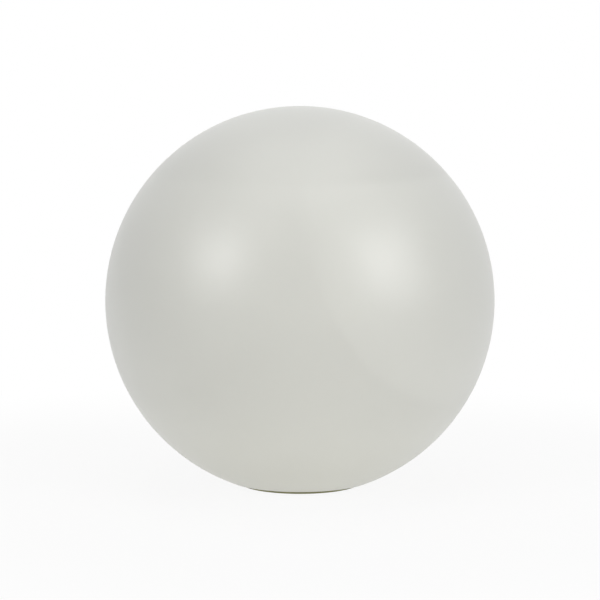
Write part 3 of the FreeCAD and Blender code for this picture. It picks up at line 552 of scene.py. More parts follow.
def opal_plastic():
    """Opal acrylic: milky all through, with a satin moulded skin and faint flow lines."""
    depth = {"Subsurface_Weight": 0.6, "Subsurface_Scale": 2 * MM, "Subsurface_Radius": (1, 1, 0.9)}
    made = Finish("opal_plastic", **depth)
    flow = made.noise(14, 3, (1, 1, 0.3))
    grain = made.noise(0.4, 2)
    tint = made.mix(flow, (0.78, 0.78, 0.75), (0.84, 0.84, 0.81))
    return made.dress(tint, 0.30 + 0.10 * grain, grain, 0.006)


MAKERS = (
    ball_plastic, casing_plastic, slip_plastic, foot_rubber, seal_rubber, cover_plastic, soft_plastic,
    vent_plastic, clear_plastic, spring_steel, contact_nickel, brass, screw_steel, tinned, gold_plate,
    component_plastic, connector_plastic, ferrite, copper_wire, capacitor_can, socket_metal,
    board_laminate, lamp_board_coat, holder_plastic, strap_fabric, strap_thread, cell_wrap, cell_steel,
    cell_washer, lead_insulation, lead_red, spreader_aluminium, lamp_phosphor, lamp_body, opal_plastic,
)
FINISHES = {maker.__name__: maker for maker in MAKERS}


def finish_for(name):
    """The material of that name, made the first time that it is asked for."""
    return bpy.data.materials.get(name + LOOK) or FINISHES[name]().material


# Modelling. These functions take millimetres and degrees.


def deselect():
    bpy.ops.object.select_all(action="DESELECT")


def take(piece):
    """Make this the only selected object, and the active one."""
    deselect()
    piece.select_set(True)
    bpy.context.view_layer.objects.active = piece


def rename(piece, name):
    piece.name = name
    piece.data.name = name
    return piece


def place(piece, at=(0, 0, 0), turn=(0, 0, 0)):
    """Turn a piece about X, Y and Z through the origin, then move it, all in its mesh."""
    take(piece)
    piece.location = Vector(at) * MM
    piece.rotation_euler = [math.radians(angle) for angle in turn]
    bpy.ops.object.transform_apply(location=True, rotation=True, scale=True)
    return piece


def newest(name):
    """Name the object just added, and put its place into its mesh."""
    piece = rename(bpy.context.object, name)
    take(piece)
    bpy.ops.object.transform_apply(location=True, rotation=True, scale=True)
    return piece


def another(piece, name, at=(0, 0, 0), turn=(0, 0, 0)):
    """A copy of a piece with a mesh of its own, turned and moved."""
    take(piece)
    bpy.ops.object.duplicate()
    return place(rename(bpy.context.object, name), at, turn)


def join(name, *pieces):
    take(pieces[0])
    for other in pieces[1:]:
        other.select_set(True)
    bpy.ops.object.join()
    return rename(bpy.context.object, name)


def repeat(piece, name, spots):
    """A piece's copies at each (place, turn) spot, joined in one; the first one goes."""
    made = [another(piece, name, at, turn) for at, turn in spots]
    bpy.data.objects.remove(piece)
    return join(name, *made)


def edit(piece, kind="VERT"):
    """Enter edit mode with nothing selected, to select vertices, edges or faces."""
    take(piece)
    bpy.ops.object.mode_set(mode="EDIT")
    bpy.ops.mesh.select_mode(type=kind)
    bpy.ops.mesh.select_all(action="DESELECT")


def leave_edit():
    bpy.ops.object.mode_set(mode="OBJECT")


def pick_faces(piece, wanted):
    """Enter edit mode with those faces selected whose centre, in millimetres, and normal pass a test."""
    edit(piece, "FACE")
    mesh = bmesh.from_edit_mesh(piece.data)
    for face in mesh.faces:
        face.select_set(bool(wanted(face.calc_center_median() / MM, face.normal)))
    bmesh.update_edit_mesh(piece.data)


def pick_corners(piece, wanted):
    """Enter edit mode with those vertices selected whose place, in millimetres, passes a test."""
    edit(piece, "VERT")
    mesh = bmesh.from_edit_mesh(piece.data)
    for corner in mesh.verts:
        corner.select_set(bool(wanted(corner.co / MM)))
    mesh.select_flush(True)
    bmesh.update_edit_mesh(piece.data)


def extrude(x=0.0, y=0.0, z=0.0):
    bpy.ops.mesh.extrude_region_move(TRANSFORM_OT_translate={"value": Vector((x, y, z)) * MM})


def close_mesh(fill=False):
    """Merge doubled vertices, fill any open end and turn all faces outwards."""
    bpy.ops.mesh.select_all(action="SELECT")
    bpy.ops.mesh.remove_doubles(threshold=TINY * MM)
    if fill:
        bpy.ops.mesh.fill_holes(sides=0)
    bpy.ops.mesh.normals_make_consistent(inside=False)
    leave_edit()


def draw(name, corners, closed=True):
    """Draw edges through these corners by extruding a vertex. Stays in edit mode with all selected."""
    start = Vector(corners[0])
    deselect()
    bpy.ops.mesh.primitive_plane_add(size=MM, location=start * MM)
    piece = newest(name)
    edit(piece)
    bpy.ops.mesh.select_all(action="SELECT")
    bpy.ops.mesh.merge(type="CENTER")
    ends = corners[1:] + corners[:1] if closed else corners[1:]
    for end in ends:
        extrude(*(Vector(end) - start))
        start = Vector(end)
    bpy.ops.mesh.select_all(action="SELECT")
    bpy.ops.mesh.remove_doubles(threshold=TINY * MM)
    return piece


def lathe(name, outline, steps=48, at=(0, 0), sweep=360.0):
    """Spin an outline of (radius, height) points about an upright axis. It is closed, or ends on the axis."""
    x, y = at
    corners = [(x + radius, y, height) for radius, height in outline]
    ends_on_axis = max(outline[0][0], outline[-1][0]) < TINY
    piece = draw(name, corners, not ends_on_axis)
    centre = (x * MM, y * MM, 0)
    bpy.ops.mesh.spin(steps=steps, angle=math.radians(sweep), center=centre, axis=(0, 0, -1))
    close_mesh(fill=sweep < 360)
    return piece


def slab(name, outline, low, high):
    """A plate: an outline in the XY plane, filled and extruded up."""
    piece = draw(name, [(x, y, low) for x, y in outline])
    bpy.ops.mesh.edge_face_add()
    extrude(z=high - low)
    close_mesh()
    return piece


def block(name, size, centre):
    """A box to be shaped further."""
    deselect()
    bpy.ops.mesh.primitive_cube_add(size=1, location=Vector(centre) * MM, scale=Vector(size) * MM)
    return newest(name)


def rod(name, radius, low, high, at=(0, 0), steps=24):
    """A round bar to be shaped further, or to cut a hole with."""
    middle_height = (low + high) / 2
    deselect()
    bpy.ops.mesh.primitive_cylinder_add(
        vertices=steps,
        radius=radius * MM,
        depth=(high - low) * MM,
        location=Vector((*at, middle_height)) * MM,
    )
    return newest(name)


def modify(piece, kind, **settings):
    """Add a modifier and apply it."""
    take(piece)
    modifier = piece.modifiers.new(kind.lower(), kind)
    for key, value in settings.items():
        setattr(modifier, key, value)
    bpy.ops.object.modifier_apply(modifier=modifier.name)
    return piece


def bevel(piece, width, steps=2, angle=30):
    limit = {"limit_method": "ANGLE", "angle_limit": math.radians(angle)}
    return modify(piece, "BEVEL", width=width * MM, segments=steps, **limit)


def combine(piece, operation, *others):
    for other in others:
        modify(piece, "BOOLEAN", operation=operation, solver="EXACT", object=other)
        bpy.data.objects.remove(other)
    return piece


def cut(piece, *cutters):
    combine(piece, "DIFFERENCE", *cutters)
    edit(piece)
    bpy.ops.mesh.select_all(action="SELECT")
    bpy.ops.mesh.dissolve_degenerate(threshold=TINY * MM)
    leave_edit()
    return piece


def smooth(piece, angle=35):
    """Shade curves smoothly, and keep wide flat faces flat beside their rounded edges."""
    take(piece)
    bpy.ops.object.shade_smooth_by_angle(angle=math.radians(angle))
    return modify(piece, "WEIGHTED_NORMAL", keep_sharp=True, weight=80)


def paint(piece, finish):
    """Give a whole piece one finish."""
    piece.data.materials.clear()
    piece.data.materials.append(finish_for(finish))
    return piece


def repaint(piece, finish, wanted):
    """Give another finish to those faces whose centre, in millimetres, passes a test."""
    piece.data.materials.append(finish_for(finish))
    for face in piece.data.polygons:
        if wanted(face.center / MM):
            face.material_index = len(piece.data.materials) - 1


def ride(piece, slot, body):
    """Let a new piece ride on a body; it takes the slot's finish unless it is painted already."""
    if not piece.data.materials:
        paint(piece, slot)
    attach(piece, body)


def stand_for(piece, *nodes):
    """Let a new piece take the place of CAD nodes, with the first one's body and slot."""
    ride(piece, slot_of(nodes[0]), body_of(nodes[0]))
    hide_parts(*nodes)


def seat(piece, node, turn=0):
    """Move a piece made at the origin to where its CAD node stands, and let it take that node's place."""
    centre = middle(node)
    stand_for(place(piece, (centre.x, centre.y, reach(node)[0].z), (0, 0, turn)), node)


def soft_edged(node, name, width, steps=2, angle=40, merged=True):
    """A copy of a CAD piece with rounded edges.

    Its flat triangles are merged, unless a face's holes make that go wrong.
    """
    mesh = frame["nodes"][node].data.copy()
    mesh.materials.clear()
    piece = bpy.data.objects.new(name, mesh)
    bpy.context.scene.collection.objects.link(piece)
    mesh.name = name
    edit(piece)
    bpy.ops.mesh.select_all(action="SELECT")
    bpy.ops.mesh.remove_doubles(threshold=2 * TINY * MM)
    if merged:
        bpy.ops.mesh.dissolve_limited(angle_limit=math.radians(1))
    leave_edit()
    bevel(piece, width, steps, angle)
    return smooth(piece)


def soften(node, name, width, steps=2, merged=True):
    """Let a copy with rounded edges take the place of a CAD piece."""
    stand_for(soft_edged(node, name, width, steps, merged=merged), node)


def arc(centre, radius, start, end, steps):
    """Points along an arc of an outline, from one angle to another, both ends included."""
    angles = [math.radians(start + (end - start) * i / steps) for i in range(steps + 1)]
    return [(centre[0] + radius * math.cos(a), centre[1] + radius * math.sin(a)) for a in angles]


def spot(x=0.0, y=0.0, z=0.0, turn=0.0):
    """A place, and a turn about the upright axis, for repeat()."""
    return (x, y, z), (0, 0, turn)


def facing_pairs(y):
    """Spots for a leg modelled at a corner of a part, so that all four corners get one."""
    return [spot(), spot(y=-y), spot(y=y, turn=180), spot(turn=180)]


def upside_down(spots):
    """The same places for a part that hangs on its head."""
    return [(at, (180, 0, 0)) for at, _ in spots]


def round_spots(radius, count, first=0.0, height=0.0):
    """Evenly spaced (place, turn) spots on a circle round the upright axis."""
    spots = []
    for i in range(count):
        angle = first + 360 * i / count
        x, y = arc((0, 0), radius, angle, angle, 1)[0]
        spots.append(spot(x, y, height, angle))
    return spots


# The ball and what is fixed in it

BALL_STEPS = 192  # round the ball
LIP_HOLE_RADIUS = 55.0  # in the well's roof
BOSS_WALL = 1.5
BOSS_CROWN = 2.5  # from an insert's top to its boss's top
INSERT_CIRCLE = 59.3
INSERT_RADIUS = 2.9
INSERT_BORE = 2.05
INSERT_WAIST = (3.2, 4.6)  # lower and upper end of the groove round an insert
WAIST_DEPTH = 0.5
KNURLS = 24
KNURL_SHARE = 0.93  # an insert's radius between its knurls, as a share of the whole
POCKET_PLAY = 0.05
POCKET_ROOM = 0.5  # over an insert
CORNER = 45.0  # first of the four corner screws, round the light
WELL_GAP = 0.6  # between the foot ring and the well round it


class GLOBE_LIGHT_OT_ball(bpy.types.Operator):
    """Turn the hollow ball, with its rim, its well and the four bosses over it"""

    bl_idname = "globe_light.ball"
    bl_label = "Ball"

    def execute(self, context):
        low, high = reach("globe_shell")
        insert_low, insert_high = reach("neck_inserts")
        radius = high.x
        wall = sizes().ball_wall / MM
        fillet = sizes().rim_fillet / MM
        centre = high.z - radius
        well = reach("foot_ring")[1].x + WELL_GAP
        lip = insert_low.z
        # the fillet touches the ball from inside and the flat rim from above
        fillet_height = low.z + fillet
        meet_radius = math.sqrt((radius - fillet) ** 2 - (centre - fillet_height) ** 2)
        meet = math.degrees(math.atan2(fillet_height - centre, meet_radius))
        inner = radius - wall
        floor = low.z + wall
        inner_end = math.degrees(math.asin((floor - centre) / inner))
        outline = arc((0, centre), radius, 90, meet, 110)
        outline += arc((meet_radius, fillet_height), fillet, meet, -90, 6)
        outline += [(well, low.z), (well, lip), (LIP_HOLE_RADIUS, lip), (LIP_HOLE_RADIUS, lip + wall)]
        outline += [(well + wall, lip + wall), (well + wall, floor)]
        outline += arc((0, centre), inner, inner_end, 90, 90)
        ball = lathe("ball", outline, BALL_STEPS)
        offset = INSERT_CIRCLE * math.cos(math.radians(CORNER))  # of an insert's centre, along X
        insert_radius = (insert_high.x - insert_low.x - 2 * offset) / 2
        boss_radius = insert_radius + BOSS_WALL
        crown = insert_high.z + BOSS_CROWN
        boss = rod("boss", boss_radius, lip + wall / 2, crown, steps=32)
        bevel(boss, 0.6)
        bosses = repeat(boss, "bosses", round_spots(INSERT_CIRCLE, 4, CORNER))
        pocket = rod("pocket", insert_radius + POCKET_PLAY, lip - 1, insert_high.z + POCKET_ROOM, steps=32)
        pockets = repeat(pocket, "pockets", round_spots(INSERT_CIRCLE, 4, CORNER))
        combine(ball, "UNION", bosses)
        cut(ball, pockets)
        smooth(ball)
        stand_for(ball, "globe_shell")
        return {"FINISHED"}


class GLOBE_LIGHT_OT_inserts(bpy.types.Operator):
    """Turn the knurled brass bushes in the ball's bosses"""

    bl_idname = "globe_light.inserts"
    bl_label = "Inserts"

    def execute(self, context):
        low, high = reach("neck_inserts")
        outer = INSERT_RADIUS
        bore = INSERT_BORE
        length = high.z - low.z
        bottom, top = INSERT_WAIST
        outline = [(bore + 0.3, 0), (outer - 0.15, 0), (outer, 0.15), (outer, bottom)]
        outline += [(outer - WAIST_DEPTH, bottom + 0.2), (outer - WAIST_DEPTH, top - 0.2), (outer, top)]
        outline += [(outer, length - 0.4), (outer - 0.4, length), (bore + 0.3, length)]
        outline += [(bore, length - 0.3), (bore, 0.3)]
        bush = lathe("bush", outline, 2 * KNURLS)
        pick_corners(bush, self.between_knurls)
        bpy.ops.transform.resize(value=(KNURL_SHARE, KNURL_SHARE, 1), center_override=(0, 0, 0))
        leave_edit()
        smooth(bush, 20)
        bushes = repeat(bush, "knurled_inserts", round_spots(INSERT_CIRCLE, 4, CORNER, low.z))
        stand_for(bushes, "neck_inserts")
        return {"FINISHED"}

    def between_knurls(self, at):
        """Whether a corner of the bush lies on its outside, at every other step round it."""
        outside = Vector(at.xy).length > INSERT_RADIUS - 0.05
        return outside and round(math.atan2(at.y, at.x) / TURN * 2 * KNURLS) % 2


class GLOBE_LIGHT_OT_neck(bpy.types.Operator):
    """Round the edges of the threaded neck, its gasket and the washer under it"""

    bl_idname = "globe_light.neck"
    bl_label = "Neck"

    def execute(self, context):
        edge = sizes().moulded_edge / MM
        soften("neck_ring", "threaded_neck", 0.75 * edge)
        soften("neck_gasket", "gasket_under_ball", 0.2)
        soften("slip_ring", "slip_washer", 0.2)
        return {"FINISHED"}


# The foot and the underside

FOOT_WIDTH = 9.0
FOOT_THICKNESS = 3.4
FOOT_EDGE = 0.8  # rounding of its tread's edges
TONGUE_INNER = 57.1  # of the rib on the foot's top
TONGUE_OUTER = 59.9
TONGUE_EDGE = 0.2
FOOT_TOP_EDGE = 0.3
GROOVE_WIDTH = 0.7
GROOVE_DEPTH = 0.5
GROOVE_COUNT = 4


class GLOBE_LIGHT_OT_foot(bpy.types.Operator):
    """Turn the soft ring that the light stands on, with grip grooves in its tread"""

    bl_idname = "globe_light.foot"
    bl_label = "Foot"

    def execute(self, context):
        high = reach("foot_ring")[1]
        outer = high.x
        inner = outer - FOOT_WIDTH
        top = FOOT_THICKNESS
        edge = FOOT_EDGE
        outline = [(TONGUE_INNER, top), (TONGUE_INNER, high.z - TONGUE_EDGE)]
        outline += [(TONGUE_INNER + TONGUE_EDGE, high.z), (TONGUE_OUTER - TONGUE_EDGE, high.z)]
        outline += [(TONGUE_OUTER, high.z - TONGUE_EDGE), (TONGUE_OUTER, top)]
        outline += [(outer - FOOT_TOP_EDGE, top), (outer, top - FOOT_TOP_EDGE)]
        outline += arc((outer - edge, edge), edge, 0, -90, 5)
        pitch = (outer - inner - 2 * edge) / GROOVE_COUNT
        for i in range(GROOVE_COUNT):
            groove = outer - edge - pitch * (i + 0.5)
            half = GROOVE_WIDTH / 2
            outline += [(groove + half, 0), (groove + half * 0.6, GROOVE_DEPTH)]
            outline += [(groove - half * 0.6, GROOVE_DEPTH), (groove - half, 0)]
        outline += arc((inner + edge, edge), edge, -90, -180, 5)
        outline += [(inner, top - FOOT_TOP_EDGE), (inner + FOOT_TOP_EDGE, top)]
        stand_for(smooth(lathe("foot_tread", outline, 160)), "foot_ring")
        return {"FINISHED"}


VENT_HOLE_RADIUS = 0.3
VENT_HOLE_DEPTH = 0.6
VENT_HOLE_CIRCLE = 1.1


class GLOBE_LIGHT_OT_underside(bpy.types.Operator):
    """Round the edges of the casing, the cover under it, the vent and the light pipe"""

    bl_idname = "globe_light.underside"
    bl_label = "Casing and underside"

    def execute(self, context):
        edge = sizes().moulded_edge / MM
        soften("module_body", "module_casing", edge)
        soften("bottom_cover", "cover_plate", 0.2, merged=False)
        soften("base_seal", "shoulder_seal", 0.4, 3)
        soften("cover_gasket", "gasket_over_cover", 0.15)
        soften("light_pipe", "clear_pipe", 0.25, 3)
        vent = soft_edged("vent_plug", "vent", 0.2)
        centre = middle("vent_plug")
        low = reach("vent_plug")[0].z
        hole = rod("vent_hole", VENT_HOLE_RADIUS, low - 1, low + VENT_HOLE_DEPTH, steps=12)
        spots = [((at[0], centre.y + at[1], 0), turn) for at, turn in round_spots(VENT_HOLE_CIRCLE, 6)]
        cut(vent, repeat(hole, "vent_holes", spots))
        stand_for(vent, "vent_plug")
        return {"FINISHED"}


HEAD_THICKNESS = 1.8  # of the button
STEM_RADIUS = 2.94
SEAL_GROOVE = (2.0, 9.3, 10.5)  # radius, lower and upper end
CLIP_GROOVE = (2.25, 11.65, 12.15)
DISH_RIM = 1.25  # round the button's hollow face
DISH_DEPTH = 0.45
SIGN_RADII = (1.9, 2.35)
SIGN_HEIGHTS = (0.05, 0.7)  # above the button's face
SIGN_SWEEP = 290  # degrees of the ring; its gap faces the button's +Y


class GLOBE_LIGHT_OT_button(bpy.types.Operator):
    """Turn the push button with its dished face and raised sign, and its seal, clip and plunger"""

    bl_idname = "globe_light.button"
    bl_label = "Push button"

    def execute(self, context):
        low, high = reach("power_button")
        x = middle("power_button").x
        radius = (high.x - low.x) / 2
        back = low.z + HEAD_THICKNESS
        stem = STEM_RADIUS
        dish = radius - DISH_RIM
        hollow = (dish**2 + DISH_DEPTH**2) / (2 * DISH_DEPTH)
        outline = arc((0, low.z + DISH_DEPTH - hollow), hollow, 90, math.degrees(math.acos(dish / hollow)), 6)
        outline += arc((radius - 0.6, low.z + 0.6), 0.6, -90, 0, 4)
        outline += [(radius, back - 0.2), (radius - 0.2, back), (stem, back)]
        for core, bottom, top in (SEAL_GROOVE, CLIP_GROOVE):
            outline += [(stem, bottom), (core, bottom), (core, top), (stem, top)]
        outline += [(stem, high.z - 0.2), (stem - 0.2, high.z), (0, high.z)]
        button = smooth(lathe("button_cap", outline, 64, (x, 0)))
        inner, outer = SIGN_RADII
        bottom, top = (low.z + height for height in SIGN_HEIGHTS)
        ring = [(inner, bottom), (outer, bottom), (outer, top), (inner, top)]
        sign = lathe("sign", ring, 40, sweep=SIGN_SWEEP)
        place(sign, turn=(0, 0, 90 + (360 - SIGN_SWEEP) / 2))
        bar = block("bar", (0.5, 2.2, 0.65), (0, 2.1, low.z + 0.375))
        sign = bevel(join("sign", sign, bar), 0.08)
        place(sign, (x, 0, 0))
        stand_for(join("button_cap", button, sign), "power_button")
        soften("button_seal", "stem_seal", 0.2, 3)
        soften("button_clip", "stem_clip", 0.08)
        soften("switch_plunger", "plunger", 0.3)
        return {"FINISHED"}


class GLOBE_LIGHT_OT_port(bpy.types.Operator):
    """Round the charging port's cover, and add the ridges that a fingernail catches"""

    bl_idname = "globe_light.port"
    bl_label = "Port cover"

    def execute(self, context):
        low, high = reach("port_cover")
        cover = soft_edged("port_cover", "port_flap", 0.3)
        ridge = bevel(block("ridge", (0.5, 8.0, 0.45), (high.x - 1.5, 0, low.z)), 0.15)
        cover = join("port_flap", cover, repeat(ridge, "ridges", [spot(x=-1.1 * i) for i in range(3)]))
        stand_for(smooth(cover), "port_cover")
        return {"FINISHED"}


# Screws

Screw = namedtuple("Screw", "radius head_radius head_height length countersunk pitch")
NECK_SCREW = Screw(2.0, 3.8, 2.0, 11.4, True, 0.9)
COVER_SCREW = Screw(1.5, 2.8, 1.4, 12.0, False, 1.1)
SMALL_SCREW = Screw(1.25, 2.3, 1.5, 7.0, False, 0.9)
THREAD_DEPTH = 0.3
BOARD_SCREW_CIRCLE = 31.0
BOARD_SCREW_ANGLE = 60.0
LAMP_SCREW_CIRCLE = 19.0
HOLDER_SCREW_PLACES = ((-14.0, 25.0), (14.0, -25.0))


def thread_ridge(screw, start, end):
    """The helical ridge of a screw's thread, rooted in its core and closed at both ends."""
    root = screw.radius - THREAD_DEPTH - 0.1
    profile = ((root, 0.0), (screw.radius, 0.3), (root, 0.6))
    ridge = draw("thread", [(radius, 0, start + share * screw.pitch) for radius, share in profile])
    leave_edit()
    turns = int((end - start) / screw.pitch)
    modify(ridge, "SCREW", screw_offset=screw.pitch * MM, iterations=turns, steps=20, render_steps=20)
    edit(ridge)
    close_mesh(fill=True)
    return ridge


def recess_cutters(screw, face):
    """Two tapered bars, crossed, that cut the driver's recess into a head's face."""
    length = 1.15 * screw.head_radius
    width = 0.26 * screw.head_radius
    depth = 0.65 * screw.head_height
    made = []
    for turn in (0, 90):
        bar = block("recess", (length, width, depth), (0, 0, face + depth / 2 - 0.1))
        pick_faces(bar, lambda at, normal: normal.z > 0.9)
        bpy.ops.transform.resize(value=(0.5, 0.7, 1), center_override=(0, 0, 0))
        leave_edit()
        made.append(place(bar, turn=(0, 0, turn)))
    return made


def make_screw(name, screw):
    """A screw, head down: a countersunk one stands on its face and a pan head hangs under the origin."""
    core = screw.radius - THREAD_DEPTH
    if screw.countersunk:
        face = 0.0
        outline = [(0, 0), (screw.head_radius - 0.25, 0), (screw.head_radius, 0.2), (core, screw.head_height)]
        start = screw.head_height
    else:
        face = -screw.head_height
        side = screw.head_radius
        outline = [(0, face), (0.55 * side, face + 0.06)]
        outline += arc((side - 0.7, face + 0.75), 0.7, -70, 0, 4)
        outline += [(side, -0.1), (side - 0.1, 0), (core, 0)]
        start = 0.0
    outline += [(core, screw.length - 0.7), (core - 0.5, screw.length), (0, screw.length)]
    made = lathe(name, outline, 32)
    cut(made, *recess_cutters(screw, face))
    ridge = thread_ridge(screw, start + 0.4, screw.length - 1.0)
    return smooth(join(name, made, ridge), 40)


class GLOBE_LIGHT_OT_screws(bpy.types.Operator):
    """Turn each kind of screw once, with its recess and thread, and copy it to its places"""

    bl_idname = "globe_light.screws"
    bl_label = "Screws"

    def execute(self, context):
        neck = make_screw("neck_pattern", NECK_SCREW)
        cover = make_screw("cover_pattern", COVER_SCREW)
        for i in range(1, 5):
            self.stand_single(neck, f"neck_screw_{i}", 0.0)
            self.stand_single(cover, f"cover_screw_{i}", COVER_SCREW.head_height)
        small = make_screw("small_pattern", SMALL_SCREW)
        board_seat = reach("board_screws")[1].z - SMALL_SCREW.head_height
        spots = round_spots(BOARD_SCREW_CIRCLE, 3, BOARD_SCREW_ANGLE, board_seat)
        self.stand_group(small, "board_screws", upside_down(spots))
        lamp_seat = reach("lamp_screws")[1].z - SMALL_SCREW.head_height
        spots = round_spots(LAMP_SCREW_CIRCLE, 2, 0.0, lamp_seat)
        self.stand_group(small, "lamp_screws", upside_down(spots))
        holder_seat = reach("holder_screws")[0].z + SMALL_SCREW.head_height
        spots = [spot(x, y, holder_seat) for x, y in HOLDER_SCREW_PLACES]
        self.stand_group(small, "holder_screws", spots)
        for pattern in (neck, cover, small):
            bpy.data.objects.remove(pattern)
        return {"FINISHED"}

    def stand_single(self, pattern, node, head):
        centre = middle(node)
        lowest = reach(node)[0].z
        copy = another(pattern, node + "_turned", (centre.x, centre.y, lowest + head))
        stand_for(copy, node)

    def stand_group(self, pattern, node, spots):
        copies = [another(pattern, node, at, turn) for at, turn in spots]
        stand_for(join(node + "_turned", *copies), node)


# Cells, holder and strap


CELL_RADIUS = 9.2
CELL_LENGTH = 65.2
WASHER_HEIGHT = 63.8  # the washer and the pole lie above it
WASHER_RADII = (3.1, 6.6)
FLAT_END_HEIGHT = 0.14
FLAT_END_RADIUS = 7.45


def from_axis(at):
    return Vector(at.xy).length


def make_cell():
    """A cell on its flat end at the origin: wrapped can with its crimp, washer and raised pole."""
    radius = CELL_RADIUS
    outline = [(0, 0.12), (7.4, 0.12), (7.5, 0.0), (8.9, 0.0), (9.15, 0.1), (radius, 0.4)]
    outline += [(radius, 60.6), (8.75, 61.2), (8.7, 61.7), (8.8, 62.1), (radius, 62.7), (radius, 63.7)]
    outline += [(8.95, 64.1), (8.4, 64.2), (6.6, 64.2), (6.5, 64.1), (3.3, 64.1), (3.2, 63.9), (2.9, 63.9)]
    outline += [(2.9, CELL_LENGTH - 0.2), (2.7, CELL_LENGTH), (0, CELL_LENGTH)]
    cell = smooth(lathe("cell", outline, 64))
    paint(cell, "cell_wrap")
    hole, rim = WASHER_RADII
    repaint(cell, "cell_steel", lambda at: at.z < FLAT_END_HEIGHT and from_axis(at) < FLAT_END_RADIUS)
    repaint(cell, "cell_washer", lambda at: at.z > WASHER_HEIGHT and hole < from_axis(at) < rim)
    repaint(cell, "cell_steel", lambda at: at.z > WASHER_HEIGHT and from_axis(at) < hole)
    return cell


class GLOBE_LIGHT_OT_cells(bpy.types.Operator):
    """Turn a wrapped cell and lay two in the holder, poles opposite ways"""

    bl_idname = "globe_light.cells"
    bl_label = "Cells"

    def execute(self, context):
        cell = make_cell()
        for name, side in (("battery_cell_1", -1), ("battery_cell_2", 1)):
            low, high = reach(name)
            centre = middle(name)
            base = low.x if side < 0 else high.x
            copy = another(cell, name + "_wrapped", (base, centre.y, centre.z), (0, -90 * side, 0))
            stand_for(copy, name)
        bpy.data.objects.remove(cell)
        return {"FINISHED"}


class GLOBE_LIGHT_OT_holder(bpy.types.Operator):
    """Round the edges of the cell holder and its contacts"""

    bl_idname = "globe_light.holder"
    bl_label = "Cell holder"

    def execute(self, context):
        soften("battery_holder", "cell_tray", 0.25)
        for node in ("contact_bridge", "contact_leaf_1", "contact_leaf_2"):
            soften(node, node + "_pressed", 0.08)
        return {"FINISHED"}


STRAP_THICKNESS = 0.8
STRAP_STEPS = 10  # across its width
STITCH_SIZE = (0.35, 0.25, 1.5)
STITCH_PITCH = 2.1
STITCH_MARGIN = 1.5  # from the strap's edge
STITCH_SINK = 0.02


class GLOBE_LIGHT_OT_strap(bpy.types.Operator):
    """Draw the woven strap round both cells, give it thickness, and sew its hemmed ends"""

    bl_idname = "globe_light.strap"
    bl_label = "Cell strap"

    def execute(self, context):
        low, high = reach("battery_strap")
        cell = middle("battery_cell_2")
        radius = high.y - cell.y - STRAP_THICKNESS / 2
        leg = [(high.y - STRAP_THICKNESS / 2, high.z - 1.2 * i) for i in range(9)]
        path = leg + arc((cell.y, cell.z), radius, 0, -90, 12)
        path += [(cell.y - cell.y * i / 4, cell.z - radius) for i in range(1, 4)]
        path += [(-y, z) for y, z in reversed(path)]
        strap = draw("strap", [(low.x, y, z) for y, z in path], closed=False)
        for _ in range(STRAP_STEPS):
            extrude(x=(high.x - low.x) / STRAP_STEPS)
        close_mesh()
        modify(strap, "SOLIDIFY", thickness=STRAP_THICKNESS * MM, offset=0.0)
        bevel(strap, 0.25, 3, 60)
        smooth(strap, 50)
        stitch = bevel(block("stitch", STITCH_SIZE, (0, 0, 0)), 0.12)
        smooth(stitch)
        paint(stitch, "strap_thread")
        outside = high.y - STITCH_SINK
        columns = (low.x + STITCH_MARGIN, high.x - STITCH_MARGIN)
        rows = [(x, outside * side) for x in columns for side in (-1, 1)]
        spots = [spot(x, y, high.z - 1.6 - STITCH_PITCH * i) for x, y in rows for i in range(4)]
        stitches = repeat(stitch, "stitches", spots)
        paint(strap, "strap_fabric")
        stand_for(join("woven_strap", strap, stitches), "battery_strap")
        return {"FINISHED"}


# Leads

LEAD_BEND = 6.0
CORE_RADIUS = 0.6
CORE_OFFSET = 1.0


def lead(name, run, rise):
    """Two cores and the web between them, along +X from the origin, round a bend and up."""
    outline = arc((-CORE_OFFSET, 0), CORE_RADIUS, 25, 335, 10)
    outline += arc((CORE_OFFSET, 0), CORE_RADIUS, 205, 515, 10)
    piece = draw(name, [(0, y, z) for y, z in outline])
    bpy.ops.mesh.edge_face_add()
    extrude(x=run - LEAD_BEND)
    centre = Vector((run - LEAD_BEND, 0, LEAD_BEND)) * MM
    bpy.ops.mesh.spin(steps=10, angle=math.radians(90), center=centre, axis=(0, 1, 0))
    extrude(z=rise - LEAD_BEND)
    close_mesh()
    smooth(piece, 50)
    paint(piece, "lead_insulation")
    repaint(piece, "lead_red", lambda at: at.y > 0.35)
    return piece


class GLOBE_LIGHT_OT_leads(bpy.types.Operator):
    """Draw the two flat leads from the control board, each round its bend"""

    bl_idname = "globe_light.leads"
    bl_label = "Leads"

    def execute(self, context):
        height = middle("battery_connector").z
        low, high = reach("battery_lead")
        bend_end = high.x - CORE_RADIUS
        cells = lead("cell_wires", bend_end - low.x, high.z - height)
        place(cells, (low.x, 0, height))
        stand_for(cells, "battery_lead")
        low, high = reach("lamp_lead")
        lamps = lead("lamp_wires", high.y - CORE_RADIUS - low.y, high.z - height)
        place(lamps, (0, low.y, height), (0, 0, 90))
        stand_for(lamps, "lamp_lead")
        return {"FINISHED"}


# The control board


def chip_leg(body_side, height):
    """One gull-wing leg on a chip's +X side."""
    outline = [(0, height - 0.07), (0.22, height - 0.07), (0.36, 0), (0.7, 0), (0.7, 0.13)]
    outline += [(0.46, 0.13), (0.32, height + 0.07), (0, height + 0.07)]
    leg = slab("leg", [(x + body_side, z) for x, z in outline], -0.11, 0.11)
    return paint(place(leg, turn=(90, 0, 0)), "tinned")


